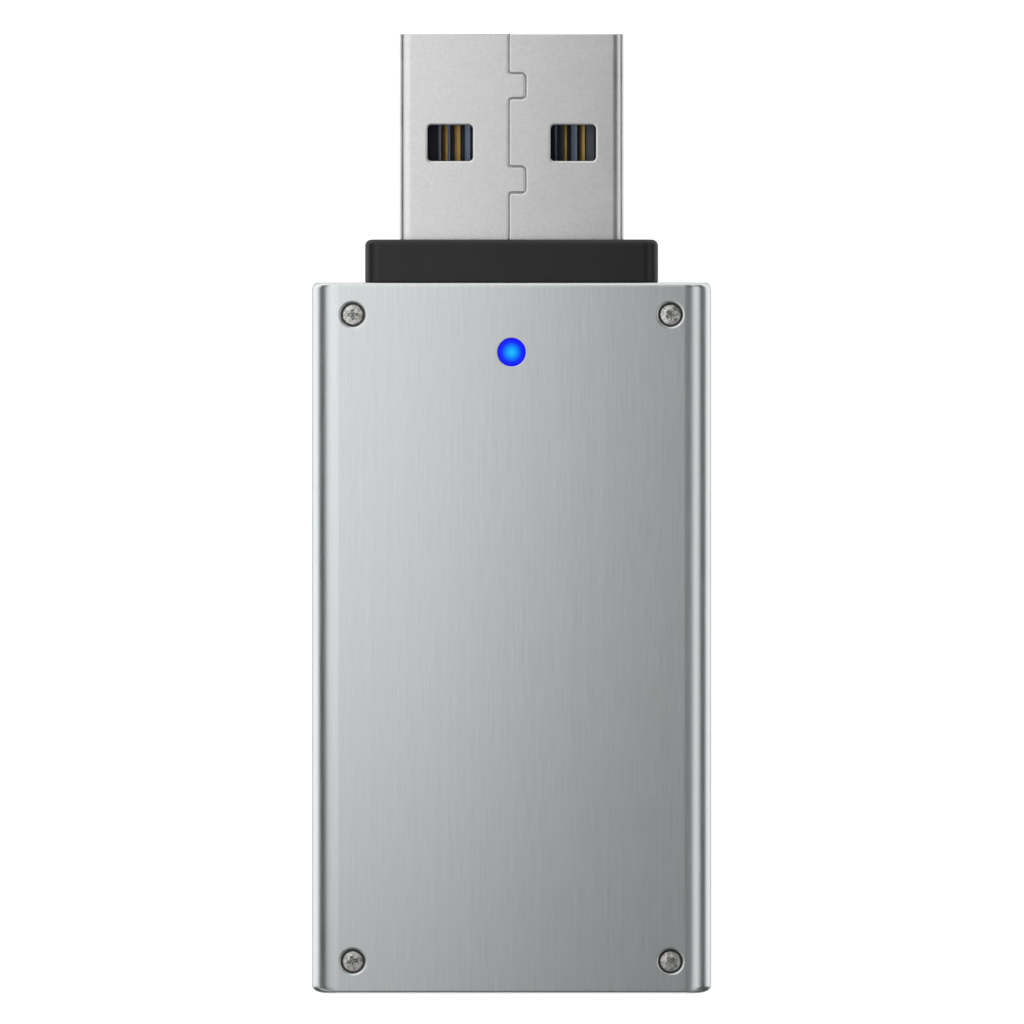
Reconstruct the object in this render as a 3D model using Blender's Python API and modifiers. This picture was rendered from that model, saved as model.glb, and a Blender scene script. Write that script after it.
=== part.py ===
"""USB storage stick: an aluminium clamshell case, a black collar and a USB Type-A plug.

Frame: the stick lies on its back. +Z points up, out of the face with the activity light,
+Y points out of the plug's mouth, and +X is to the right seen from above. The origin is on
the surface that the stick lies on, under the middle of its whole length.
Units are metres; sizes are written as millimetres times MM.
"""

import math

import bmesh
import bpy
from mathutils import Matrix, Vector

MM = 0.001

# ---------------------------------------------------------------- driving dimensions
GAP = 0.05 * MM                  # clearance between neighbouring pieces

CASE_WIDTH = 21.4 * MM
CASE_LENGTH = 38.05 * MM
CASE_HEIGHT = 8.4 * MM
CASE_WALL = 1.1 * MM
CASE_EDGE_RADIUS = 1.45 * MM     # the four long edges
CASE_END_RADIUS = 0.2 * MM       # round the two end faces
LIP_HEIGHT = 0.6 * MM            # the back shell's lip inside the front cover
LIP_THICKNESS = 0.45 * MM

COLLAR_WIDTH = 15.7 * MM
COLLAR_HEIGHT = 6.8 * MM
COLLAR_REACH = 2.32 * MM
COLLAR_EDGE_RADIUS = 0.8 * MM
COLLAR_END_RADIUS = 0.25 * MM
NECK_WIDTH = 13.5 * MM           # where the collar passes through the case's end wall
NECK_HEIGHT = 5.3 * MM
FLANGE_WIDTH = 14.3 * MM         # behind that wall, holding the collar in
FLANGE_HEIGHT = 6.1 * MM
FLANGE_THICKNESS = 0.8 * MM

PLUG_WIDTH = 12.0 * MM
PLUG_HEIGHT = 4.5 * MM
PLUG_REACH = 11.05 * MM
PLUG_LENGTH = 15.9 * MM          # with the part inside the collar and the case
PLUG_SHEET = 0.3 * MM
PLUG_EDGE_RADIUS = 0.5 * MM

WINDOW_SPACING = 6.6 * MM        # between the two windows' centres
WINDOW_WIDTH = 2.4 * MM
WINDOW_START = 4.9 * MM          # from the mouth
WINDOW_LENGTH = 1.93 * MM
WINDOW_RADIUS = 0.2 * MM

SEAM_WIDTH = 0.06 * MM
SEAM_X = -0.17 * MM
SEAM_TAB_X = 0.93 * MM           # how far the two tabs reach across
SEAM_TABS = ((2.15 * MM, 3.49 * MM), (7.15 * MM, 8.55 * MM))   # from the mouth

SCREW_SPACING = 17.0 * MM
SCREW_INSET = 1.72 * MM          # from the case's ends
SCREW_HEAD_RADIUS = 0.58 * MM
SCREW_HEAD_HEIGHT = 0.42 * MM
SCREW_SHANK_RADIUS = 0.4 * MM
SCREW_TIP_HEIGHT = 2.0 * MM      # above the surface that the stick lies on
COUNTERBORE_RADIUS = 0.72 * MM
COUNTERBORE_DEPTH = 0.6 * MM
BOSS_RADIUS = 1.05 * MM
CROSS_LENGTH = 0.66 * MM
CROSS_WIDTH = 0.15 * MM
CROSS_DEPTH = 0.22 * MM

LIGHT_INSET = 3.73 * MM          # from the case's plug end
LIGHT_RADIUS = 0.78 * MM
LIGHT_FLANGE_RADIUS = 1.15 * MM
LIGHT_FLANGE_THICKNESS = 0.5 * MM
LIGHT_DOME = 0.12 * MM

BOARD_BOTTOM = 3.4 * MM
BOARD_THICKNESS = 0.8 * MM
BOARD_WIDTH = 18.4 * MM
BOARD_TAB_WIDTH = 10.6 * MM      # the tab that goes into the plug's rear
PEG_RADIUS = 0.45 * MM           # the back shell's two locating pegs
PEG_X = 8.45 * MM
PEG_Y = -5.0 * MM
LEDGE_INNER_X = 7.9 * MM         # the ledges that the board rests on
LEDGE_ENDS = (-14.0 * MM, 4.0 * MM)
SOLDER = 0.03 * MM               # under each component
LIGHT_CHIP_HEIGHT = 0.6 * MM
FLASH_WIDTH = 12.0 * MM
FLASH_LENGTH = 18.0 * MM
FLASH_HEIGHT = 1.0 * MM
FLASH_Y = -13.4 * MM
SMALL_LENGTH = 1.0 * MM          # a capacitor or a resistor
SMALL_WIDTH = 0.5 * MM
CAPACITOR_HEIGHT = 0.5 * MM
RESISTOR_HEIGHT = 0.35 * MM

TONGUE_THICKNESS = 1.85 * MM
TONGUE_SETBACK = 0.5 * MM
SPRING_WIDTH = 0.6 * MM
SPRING_SLOT_WIDTH = 0.9 * MM
SPRING_SHEET = 0.15 * MM
SPRING_PITCH = 2.0 * MM
PAD_SHEET = 0.18 * MM
PAD_WIDTH = 1.15 * MM
PAD_SLOT_WIDTH = 0.42 * MM
PAD_RIB_WIDTH = 0.3 * MM
PAD_SLOT_ENDS = (3.6 * MM, 7.05 * MM)    # from the mouth

ROUND_STEPS = 24                 # sides of a screw, a hole or the light pipe

# ---------------------------------------------------------------- places worked out from them
TOTAL_LENGTH = CASE_LENGTH + COLLAR_REACH + PLUG_REACH
CASE_BACK = -TOTAL_LENGTH / 2
CASE_FRONT = CASE_BACK + CASE_LENGTH
COLLAR_FRONT = CASE_FRONT + COLLAR_REACH
MOUTH = TOTAL_LENGTH / 2
PLUG_REAR = MOUTH - PLUG_LENGTH
MIDDLE = CASE_HEIGHT / 2         # height of the parting line and of the plug's axis
HALF_WIDTH = CASE_WIDTH / 2
CAVITY_HALF_WIDTH = HALF_WIDTH - CASE_WALL
CEILING = CASE_HEIGHT - CASE_WALL
BACK_RIM = MIDDLE - GAP
LIP_TOP = BACK_RIM + LIP_HEIGHT
LIP_SET_IN = CASE_WALL - LIP_THICKNESS
BOARD_TOP = BOARD_BOTTOM + BOARD_THICKNESS
PLUG_FLOOR = MIDDLE - PLUG_HEIGHT / 2 + PLUG_SHEET
PLUG_CEILING = MIDDLE + PLUG_HEIGHT / 2 - PLUG_SHEET
TONGUE_BOTTOM = PLUG_FLOOR + GAP
TONGUE_TOP = TONGUE_BOTTOM + TONGUE_THICKNESS
INSULATOR_HALF = PLUG_WIDTH / 2 - PLUG_SHEET - 4 * GAP
BLOCK_FRONT = MOUTH - 11.5 * MM  # the full-height block behind the tongue
BLOCK_REAR = BLOCK_FRONT - 2.2 * MM
TAIL_END = PLUG_REAR + 0.15 * MM
SPRING_ROOT_HEIGHT = 3.7 * MM
SPRING_SLOT_FLOOR = 3.35 * MM
SPRING_SLOT_END = BLOCK_FRONT + 3.75 * MM
SPRING_PIVOT_Y = BLOCK_FRONT + 0.08 * MM
SPRING_PLACES = [SPRING_PITCH * step for step in range(-2, 3)]
PADS = {
    "contact_vbus": 3.4 * MM,
    "contact_data_minus": 1.0 * MM,
    "contact_data_plus": -1.0 * MM,
    "contact_ground": -3.4 * MM,
}
PAD_SLOT_FRONT = MOUTH - PAD_SLOT_ENDS[0]
PAD_SLOT_REAR = MOUTH - PAD_SLOT_ENDS[1]
LEG_REAR = PLUG_REAR - 2.4 * MM
LIGHT_Y = CASE_FRONT - LIGHT_INSET
CHIP_BASE = BOARD_TOP + SOLDER
LIGHT_CHIP_TOP = CHIP_BASE + LIGHT_CHIP_HEIGHT

SCREW_PLACES = [
    (side * SCREW_SPACING / 2, y)
    for y in (CASE_FRONT - SCREW_INSET, CASE_BACK + SCREW_INSET)
    for side in (-1, 1)
]

# Components on the board's upper face, in millimetres.
# name: centre x, centre y, width, length, height, finish
PACKAGES = {
    "flash_chip_top": (
        0.0, FLASH_Y / MM, FLASH_WIDTH / MM, FLASH_LENGTH / MM, FLASH_HEIGHT / MM, "chip_black"
    ),
    "controller_chip": (-2.2, 1.3, 7.0, 7.0, 0.85, "chip_black"),
    "clock_crystal": (4.4, 4.0, 3.2, 2.5, 0.7, "can_steel"),
    "power_inductor": (4.4, 0.6, 2.5, 2.5, 1.2, "ferrite_grey"),
    "surge_protector": (-3.2, 7.4, 1.6, 1.0, 0.5, "chip_black"),
    "light_chip": (0.0, LIGHT_Y / MM, 1.6, 0.8, LIGHT_CHIP_HEIGHT / MM, "light_chip_white"),
}
# centre x, centre y, lengthwise
CAPACITORS = [
    (-4.6, 5.6, False),
    (-2.9, 5.6, False),
    (-6.6, 2.8, True),
    (-6.6, 0.6, True),
    (2.2, 3.4, True),
    (-1.6, -3.2, False),
]
RESISTORS = [
    (-1.2, 5.6, False),
    (2.2, 1.6, True),
    (2.2, -0.3, True),
    (1.8, 7.6, True),
    (-3.4, -3.2, False),
]

# name: colour, roughness, metallic
FINISHES = {
    "brushed_aluminium": ((0.60, 0.62, 0.63), 0.34, 1.0),
    "screw_steel": ((0.66, 0.66, 0.65), 0.28, 1.0),
    "collar_plastic": ((0.028, 0.029, 0.028), 0.45, 0.0),
    "plug_steel": ((0.62, 0.62, 0.61), 0.38, 1.0),
    "insulator_blue": ((0.010, 0.035, 0.140), 0.42, 0.0),
    "contact_gold": ((0.74, 0.50, 0.16), 0.25, 1.0),
    "light_blue": ((0.020, 0.110, 0.950), 0.20, 0.0),
    "board_green": ((0.008, 0.085, 0.035), 0.40, 0.0),
    "chip_black": ((0.020, 0.020, 0.022), 0.50, 0.0),
    "can_steel": ((0.70, 0.69, 0.66), 0.30, 1.0),
    "ferrite_grey": ((0.070, 0.070, 0.075), 0.60, 0.0),
    "capacitor_tan": ((0.360, 0.240, 0.130), 0.50, 0.0),
    "resistor_black": ((0.015, 0.015, 0.018), 0.40, 0.0),
    "light_chip_white": ((0.800, 0.790, 0.740), 0.35, 0.0),
    "pad_grey": ((0.200, 0.260, 0.330), 0.85, 0.0),
    "film_amber": ((0.420, 0.160, 0.020), 0.30, 0.0),
}


# ---------------------------------------------------------------- scene and materials
def clear_scene():
    for obj in list(bpy.data.objects):
        bpy.data.objects.remove(obj, do_unlink=True)


def new_collection(name):
    made = bpy.data.collections.new(name)
    bpy.context.scene.collection.children.link(made)
    return made


def new_material(name, colour, roughness, metallic):
    made = bpy.data.materials.new(name)
    made.use_nodes = True
    made.diffuse_color = (*colour, 1.0)
    shader = made.node_tree.nodes["Principled BSDF"]
    shader.inputs["Base Color"].default_value = (*colour, 1.0)
    shader.inputs["Roughness"].default_value = roughness
    shader.inputs["Metallic"].default_value = metallic
    return made


clear_scene()
PIECES = new_collection("usb_storage_stick")
CUTTERS = new_collection("cutters")
MATERIALS = {name: new_material(name, *values) for name, values in FINISHES.items()}


def new_assembly_point(name):
    """An empty at the origin that every piece hangs from."""
    empty = bpy.data.objects.new(name, None)
    empty.empty_display_size = 5 * MM
    PIECES.objects.link(empty)
    return empty


ASSEMBLY = new_assembly_point("stick_origin")


def mesh_from(name, bm):
    """Turn bm into a mesh that is shaded smooth except at its sharp edges."""
    mesh = bpy.data.meshes.new(name)
    bm.to_mesh(mesh)
    bm.free()
    mesh.shade_smooth()
    mesh.set_sharp_from_angle(angle=math.radians(30))
    return mesh


def piece(name, mesh, finish):
    """A named sub-part of the stick."""
    obj = bpy.data.objects.new(name, mesh)
    obj.data.materials.append(MATERIALS[finish])
    obj.parent = ASSEMBLY
    PIECES.objects.link(obj)
    return obj


def helper(name, mesh):
    """A solid that only shapes other pieces: it is cut away from them or joined to them."""
    obj = bpy.data.objects.new(name, mesh)
    obj.hide_render = True
    obj.display_type = "WIRE"
    CUTTERS.objects.link(obj)
    return obj


def boolean(obj, other, operation):
    modifier = obj.modifiers.new(other.name, "BOOLEAN")
    modifier.operation = operation
    modifier.solver = "EXACT"
    modifier.object = other


def cut(obj, other):
    boolean(obj, other, "DIFFERENCE")


def join(obj, other):
    boolean(obj, other, "UNION")


# ---------------------------------------------------------------- shapes
def box_bmesh(low, high):
    """A box between two opposite corners."""
    low = Vector(low)
    high = Vector(high)
    bm = bmesh.new()
    bmesh.ops.create_cube(bm, size=1.0)
    size = Matrix.Diagonal((*(high - low), 1.0))
    bmesh.ops.transform(bm, matrix=Matrix.Translation((low + high) / 2) @ size, verts=bm.verts)
    return bm


def box_mesh(name, low, high):
    return mesh_from(name, box_bmesh(low, high))


def bevel(bm, edges, radius, segments):
    bmesh.ops.bevel(
        bm,
        geom=edges,
        offset=radius,
        segments=segments,
        profile=0.5,
        affect="EDGES",
        clamp_overlap=True,
    )


def round_along(bm, axis, radius, segments, wanted=lambda middle: True):
    """Round the edges that run along an axis (0, 1 or 2), where wanted accepts their middle."""
    edges = []
    for edge in bm.edges:
        first, last = (vert.co for vert in edge.verts)
        run = last - first
        if abs(run[axis]) > 0.999 * run.length and wanted((first + last) / 2):
            edges.append(edge)
    bevel(bm, edges, radius, segments)


def round_rim(bm, axis, value, radius, segments, wanted=lambda middle: True):
    """Round the outline of the flat face where the coordinate along axis has this value."""
    edges = []
    for edge in bm.edges:
        first, last = (vert.co for vert in edge.verts)
        in_plane = abs(first[axis] - value) < 1e-7 and abs(last[axis] - value) < 1e-7
        if in_plane and wanted((first + last) / 2):
            edges.append(edge)
    bevel(bm, edges, radius, segments)


def tube_box_mesh(name, half_width, height, y_low, y_high, radius, segments):
    """A box along Y, centred on the plug's axis, with its four long edges rounded."""
    low = (-half_width, y_low, MIDDLE - height / 2)
    high = (half_width, y_high, MIDDLE + height / 2)
    bm = box_bmesh(low, high)
    round_along(bm, 1, radius, segments)
    return mesh_from(name, bm)


def cylinder_mesh(name, x, y, radius, z_low, z_high):
    bm = bmesh.new()
    bmesh.ops.create_cone(
        bm,
        cap_ends=True,
        segments=ROUND_STEPS,
        radius1=radius,
        radius2=radius,
        depth=z_high - z_low,
        matrix=Matrix.Translation((x, y, (z_low + z_high) / 2)),
    )
    return mesh_from(name, bm)


def turned_mesh(name, profile):
    """An upright turned shape. The profile is (radius, height) from the top down."""
    mesh = bpy.data.meshes.new(name)
    points = [(radius, 0.0, height) for radius, height in profile]
    edges = [(i, i + 1) for i in range(len(points) - 1)]
    mesh.from_pydata(points, edges, [])
    return mesh


def spin(obj):
    """Turn an outline made by turned_mesh into its solid."""
    modifier = obj.modifiers.new("turning", "SCREW")
    modifier.angle = math.tau
    modifier.steps = ROUND_STEPS
    modifier.render_steps = ROUND_STEPS
    modifier.use_merge_vertices = True
    modifier.merge_threshold = 1e-6


def extruded_mesh(name, outline, low, high, axis, holes=()):
    """A flat outline drawn in the plane across axis, made solid from low to high along it.

    Across Z the outline's points are (x, y); across X they are (y, z). Each hole is an
    outline too, and stays open.
    """
    curve = bpy.data.curves.new(name + "_outline", "CURVE")
    curve.dimensions = "2D"
    curve.fill_mode = "BOTH"
    curve.extrude = (high - low) / 2
    for ring in (outline, *holes):
        spline = curve.splines.new("POLY")
        spline.points.add(len(ring) - 1)
        for point, (u, v) in zip(spline.points, ring):
            point.co = (u, v, 0.0, 1.0)
        spline.use_cyclic_u = True
    drawn = bpy.data.objects.new(curve.name, curve)
    bpy.context.scene.collection.objects.link(drawn)
    across = Matrix.Translation((0.0, 0.0, (low + high) / 2))
    if axis == 0:
        across = Matrix(((0, 0, 1, 0), (1, 0, 0, 0), (0, 1, 0, 0), (0, 0, 0, 1))) @ across
    drawn.matrix_world = across
    depsgraph = bpy.context.evaluated_depsgraph_get()
    flat = bpy.data.meshes.new_from_object(drawn.evaluated_get(depsgraph))
    bm = bmesh.new()
    bm.from_mesh(flat)
    bmesh.ops.remove_doubles(bm, verts=bm.verts, dist=1e-7)
    bmesh.ops.transform(bm, matrix=across, verts=bm.verts)
    bmesh.ops.recalc_face_normals(bm, faces=bm.faces)
    bpy.data.objects.remove(drawn, do_unlink=True)
    bpy.data.meshes.remove(flat)
    return mesh_from(name, bm)


def ribbon(path, thickness):
    """The outline of a strip of even thickness that follows a path, with mitred bends."""
    path = [Vector(point) for point in path]
    runs = [(b - a).normalized() for a, b in zip(path, path[1:])]
    sides = [Vector((-run.y, run.x)) for run in runs]
    left = []
    right = []
    for i, point in enumerate(path):
        before = sides[max(i - 1, 0)]
        after = sides[min(i, len(sides) - 1)]
        mitre = before + after
        offset = mitre * (thickness / mitre.dot(after) / 2)
        left.append(point + offset)
        right.append(point - offset)
    return [(point.x, point.y) for point in left + right[::-1]]


def set_origin(obj, place):
    """Move an object's origin without moving the object."""
    obj.data.transform(Matrix.Translation(-Vector(place)))
    obj.location = place


# ---------------------------------------------------------------- case
def case_half_bmesh(z_low, z_high, rounded_height):
    """Half of the case's outside. Its long edges are rounded at rounded_height, and its end
    outlines everywhere except along the parting line."""
    low = (-HALF_WIDTH, CASE_BACK, z_low)
    high = (HALF_WIDTH, CASE_FRONT, z_high)
    bm = box_bmesh(low, high)
    round_along(bm, 1, CASE_EDGE_RADIUS, 6, lambda middle: abs(middle.z - rounded_height) < 1e-6)
    parting = z_low if rounded_height == z_high else z_high
    for end in (CASE_BACK, CASE_FRONT):
        round_rim(bm, 1, end, CASE_END_RADIUS, 2, lambda middle: abs(middle.z - parting) > 1e-6)
    return bm


def neck_opening():
    """The opening in the case's end wall, half in each shell."""
    mesh = tube_box_mesh(
        "neck_opening",
        NECK_WIDTH / 2 + GAP,
        NECK_HEIGHT + 2 * GAP,
        CASE_FRONT - CASE_WALL - 0.2 * MM,
        CASE_FRONT + 0.2 * MM,
        0.5 * MM,
        3,
    )
    return helper("neck_opening", mesh)


def front_cover(opening):
    """The upper half: it carries the screw heads and the light."""
    cover = piece(
        "front_cover",
        mesh_from("front_cover", case_half_bmesh(MIDDLE, CASE_HEIGHT, CASE_HEIGHT)),
        "brushed_aluminium",
    )
    cavity_low = (-CAVITY_HALF_WIDTH, CASE_BACK + CASE_WALL, MIDDLE - 1 * MM)
    cavity_high = (CAVITY_HALF_WIDTH, CASE_FRONT - CASE_WALL, CEILING)
    cut(cover, helper("cover_cavity", box_mesh("cover_cavity", cavity_low, cavity_high)))
    for number, (x, y) in enumerate(SCREW_PLACES, 1):
        name = f"cover_boss_{number}"
        boss = cylinder_mesh(name, x, y, BOSS_RADIUS, LIP_TOP, CEILING + 0.3 * MM)
        join(cover, helper(name, boss))
    edge = LIP_SET_IN - GAP
    recess_low = (-HALF_WIDTH + edge, CASE_BACK + edge, MIDDLE - 1 * MM)
    recess_high = (HALF_WIDTH - edge, CASE_FRONT - edge, LIP_TOP + GAP)
    cut(cover, helper("lip_recess", box_mesh("lip_recess", recess_low, recess_high)))
    cut(cover, opening)
    head_seat = CASE_HEIGHT - COUNTERBORE_DEPTH
    for number, (x, y) in enumerate(SCREW_PLACES, 1):
        profile = [
            (0.0, CASE_HEIGHT + 1 * MM),
            (COUNTERBORE_RADIUS, CASE_HEIGHT + 1 * MM),
            (COUNTERBORE_RADIUS, head_seat),
            (SCREW_SHANK_RADIUS + 2 * GAP, head_seat),
            (SCREW_SHANK_RADIUS + 2 * GAP, MIDDLE - 1 * MM),
            (0.0, MIDDLE - 1 * MM),
        ]
        bore = helper(f"screw_bore_{number}", turned_mesh(f"screw_bore_{number}", profile))
        spin(bore)
        bore.location = (x, y, 0.0)
        cut(cover, bore)
    radius = LIGHT_RADIUS + 0.6 * GAP
    light_hole = cylinder_mesh("light_hole", 0.0, LIGHT_Y, radius, MIDDLE, CASE_HEIGHT + 1 * MM)
    cut(cover, helper("light_hole", light_hole))


def back_shell(opening):
    """The lower half: a tray with a lip, threaded bosses, and ledges for the board."""
    shell = piece(
        "back_shell",
        mesh_from("back_shell", case_half_bmesh(0.0, BACK_RIM, 0.0)),
        "brushed_aluminium",
    )
    lip_low = (-HALF_WIDTH + LIP_SET_IN, CASE_BACK + LIP_SET_IN, CASE_WALL)
    lip_high = (HALF_WIDTH - LIP_SET_IN, CASE_FRONT - LIP_SET_IN, LIP_TOP)
    join(shell, helper("lip_block", box_mesh("lip_block", lip_low, lip_high)))
    cavity_low = (-CAVITY_HALF_WIDTH, CASE_BACK + CASE_WALL, CASE_WALL)
    cavity_high = (CAVITY_HALF_WIDTH, CASE_FRONT - CASE_WALL, MIDDLE + 2 * MM)
    cut(shell, helper("shell_cavity", box_mesh("shell_cavity", cavity_low, cavity_high)))
    for side in (-1, 1):
        name = f"board_ledge_{'left' if side < 0 else 'right'}"
        inner = side * LEDGE_INNER_X
        outer = side * (CAVITY_HALF_WIDTH + 0.1 * MM)
        low = (min(inner, outer), LEDGE_ENDS[0], CASE_WALL - 0.1 * MM)
        high = (max(inner, outer), LEDGE_ENDS[1], BOARD_BOTTOM - GAP)
        join(shell, helper(name, box_mesh(name, low, high)))
        peg = cylinder_mesh(
            name + "_peg",
            side * PEG_X,
            PEG_Y,
            PEG_RADIUS,
            BOARD_BOTTOM - 0.5 * MM,
            BOARD_TOP - 0.2 * MM,
        )
        join(shell, helper(name + "_peg", peg))
    for number, (x, y) in enumerate(SCREW_PLACES, 1):
        name = f"shell_boss_{number}"
        boss = cylinder_mesh(name, x, y, BOSS_RADIUS, CASE_WALL - 0.1 * MM, LIP_TOP)
        join(shell, helper(name, boss))
    for number, (x, y) in enumerate(SCREW_PLACES, 1):
        name = f"thread_hole_{number}"
        radius = SCREW_SHANK_RADIUS + 0.6 * GAP
        hole = cylinder_mesh(name, x, y, radius, SCREW_TIP_HEIGHT - 0.3 * MM, MIDDLE + 2 * MM)
        cut(shell, helper(name, hole))
    cut(shell, opening)


def cross_recess(top):
    """The tool recess of a screw head: a plus sign, sunk from above."""
    long_half = CROSS_LENGTH / 2
    short_half = CROSS_WIDTH / 2
    arm = [(long_half, -short_half), (long_half, short_half), (short_half, short_half)]
    outline = []
    for quarter in range(4):
        turn = Matrix.Rotation(quarter * math.pi / 2, 2)
        outline += [tuple(turn @ Vector(point)) for point in arm]
    mesh = extruded_mesh("cross_recess", outline, top - CROSS_DEPTH, top + 1 * MM, 2)
    return mesh


def screws():
    """Four micro screws, each with a domed head and a plain shank in place of its thread."""
    seat = CASE_HEIGHT - COUNTERBORE_DEPTH + GAP
    top = seat + SCREW_HEAD_HEIGHT
    dome = 0.14 * MM
    rim = [
        (SCREW_HEAD_RADIUS * math.sin(angle), top - dome * (1 - math.cos(angle)))
        for angle in (math.radians(step * 22.5) for step in range(1, 4))
    ]
    profile = [
        (0.0, top),
        *rim,
        (SCREW_HEAD_RADIUS, top - dome),
        (SCREW_HEAD_RADIUS, seat),
        (SCREW_SHANK_RADIUS, seat),
        (SCREW_SHANK_RADIUS, SCREW_TIP_HEIGHT + 0.2 * MM),
        (SCREW_SHANK_RADIUS - 0.15 * MM, SCREW_TIP_HEIGHT),
        (0.0, SCREW_TIP_HEIGHT),
    ]
    recess_mesh = cross_recess(top)
    for number, (x, y) in enumerate(SCREW_PLACES, 1):
        screw = piece(f"screw_{number}", turned_mesh(f"screw_{number}", profile), "screw_steel")
        screw.location = (x, y, 0.0)
        spin(screw)
        recess = helper(f"cross_recess_{number}", recess_mesh)
        recess.location = (x, y, 0.0)
        recess.rotation_euler = (0.0, 0.0, math.radians(20 * number))
        cut(screw, recess)


def light_pipe():
    """The clear blue rod that carries the light chip's glow to the cover's face."""
    flange_top = CEILING - GAP
    flange_bottom = flange_top - LIGHT_FLANGE_THICKNESS
    dome = [
        (LIGHT_RADIUS * math.sin(angle), CASE_HEIGHT - LIGHT_DOME * (1 - math.cos(angle)))
        for angle in (math.radians(step * 22.5) for step in range(1, 4))
    ]
    profile = [
        (0.0, CASE_HEIGHT),
        *dome,
        (LIGHT_RADIUS, CASE_HEIGHT - LIGHT_DOME),
        (LIGHT_RADIUS, flange_top),
        (LIGHT_FLANGE_RADIUS, flange_top),
        (LIGHT_FLANGE_RADIUS, flange_bottom),
        (LIGHT_RADIUS, flange_bottom),
        (LIGHT_RADIUS, LIGHT_CHIP_TOP + 0.12 * MM),
        (0.0, LIGHT_CHIP_TOP + 0.12 * MM),
    ]
    pipe = piece("light_pipe", turned_mesh("light_pipe", profile), "light_blue")
    pipe.location = (0.0, LIGHT_Y, 0.0)
    spin(pipe)


# ---------------------------------------------------------------- collar and plug
def collar():
    """The black collar: a visible block, a neck through the wall and a flange behind it."""
    low = (-COLLAR_WIDTH / 2, CASE_FRONT + GAP, MIDDLE - COLLAR_HEIGHT / 2)
    high = (COLLAR_WIDTH / 2, COLLAR_FRONT, MIDDLE + COLLAR_HEIGHT / 2)
    bm = box_bmesh(low, high)
    round_along(bm, 1, COLLAR_EDGE_RADIUS, 4)
    round_rim(bm, 1, COLLAR_FRONT, COLLAR_END_RADIUS, 2)
    ring = piece("collar", mesh_from("collar", bm), "collar_plastic")
    flange_front = CASE_FRONT - CASE_WALL - GAP
    flange_rear = flange_front - FLANGE_THICKNESS
    neck = tube_box_mesh(
        "collar_neck",
        NECK_WIDTH / 2,
        NECK_HEIGHT,
        flange_front - 0.1 * MM,
        CASE_FRONT + 0.3 * MM,
        0.5 * MM,
        3,
    )
    join(ring, helper("collar_neck", neck))
    flange = tube_box_mesh(
        "collar_flange",
        FLANGE_WIDTH / 2,
        FLANGE_HEIGHT,
        flange_rear,
        flange_front,
        0.5 * MM,
        3,
    )
    join(ring, helper("collar_flange", flange))
    passage = tube_box_mesh(
        "plug_passage",
        PLUG_WIDTH / 2 + GAP,
        PLUG_HEIGHT + 2 * GAP,
        flange_rear - 0.5 * MM,
        COLLAR_FRONT + 0.5 * MM,
        PLUG_EDGE_RADIUS + GAP,
        4,
    )
    cut(ring, helper("plug_passage", passage))


def seam_path():
    """The seam from the mouth to the rear, stepping across at the two tabs."""
    path = [(SEAM_X, MOUTH + 0.5 * MM)]
    for start, end in SEAM_TABS:
        path.append((SEAM_X, MOUTH - start))
        path.append((SEAM_TAB_X, MOUTH - start))
        path.append((SEAM_TAB_X, MOUTH - end))
        path.append((SEAM_X, MOUTH - end))
    path.append((SEAM_X, PLUG_REAR - 0.5 * MM))
    return path


def plug_shell():
    """The folded steel shell, with its seam, four windows and two legs into the board."""
    shell = piece(
        "plug_shell",
        tube_box_mesh(
            "plug_shell", PLUG_WIDTH / 2, PLUG_HEIGHT, PLUG_REAR, MOUTH, PLUG_EDGE_RADIUS, 4
        ),
        "plug_steel",
    )
    for side in (-1, 1):
        name = f"plug_leg_{'left' if side < 0 else 'right'}"
        outer = side * PLUG_WIDTH / 2
        inner = side * (PLUG_WIDTH / 2 - PLUG_SHEET)
        low = (min(outer, inner), LEG_REAR, MIDDLE - 1.3 * MM)
        high = (max(outer, inner), PLUG_REAR + 0.5 * MM, MIDDLE + 1.0 * MM)
        join(shell, helper(name, box_mesh(name, low, high)))
    inside = tube_box_mesh(
        "plug_inside",
        PLUG_WIDTH / 2 - PLUG_SHEET,
        PLUG_HEIGHT - 2 * PLUG_SHEET,
        LEG_REAR - 0.5 * MM,
        MOUTH + 0.5 * MM,
        PLUG_EDGE_RADIUS - PLUG_SHEET,
        3,
    )
    cut(shell, helper("plug_inside", inside))
    for side in (-1, 1):
        centre = side * WINDOW_SPACING / 2
        low = (centre - WINDOW_WIDTH / 2, MOUTH - WINDOW_START - WINDOW_LENGTH, 0.0)
        high = (centre + WINDOW_WIDTH / 2, MOUTH - WINDOW_START, CASE_HEIGHT)
        bm = box_bmesh(low, high)
        round_along(bm, 2, WINDOW_RADIUS, 3)
        name = f"window_{'left' if side < 0 else 'right'}"
        cut(shell, helper(name, mesh_from(name, bm)))
    seam = extruded_mesh("seam", ribbon(seam_path(), SEAM_WIDTH), MIDDLE, CASE_HEIGHT, 2)
    cut(shell, helper("seam", seam))


def pad_path():
    """A flat pad in the YZ plane: bent nose, pad, step down, run inside the tongue, tail."""
    pad = TONGUE_TOP - PAD_SHEET / 2
    run = 2.95 * MM
    tail = BOARD_BOTTOM - GAP - PAD_SHEET / 2
    step = MOUTH - 7.46 * MM
    return [
        (MOUTH - 0.95 * MM, pad - 0.36 * MM),
        (MOUTH - 1.25 * MM, pad),
        (step + 0.2 * MM, pad),
        (step, pad - 0.26 * MM),
        (step, run + 0.2 * MM),
        (step - 0.2 * MM, run),
        (BLOCK_REAR + 0.2 * MM, run),
        (BLOCK_REAR - 0.1 * MM, tail),
        (TAIL_END, tail),
    ]


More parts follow.
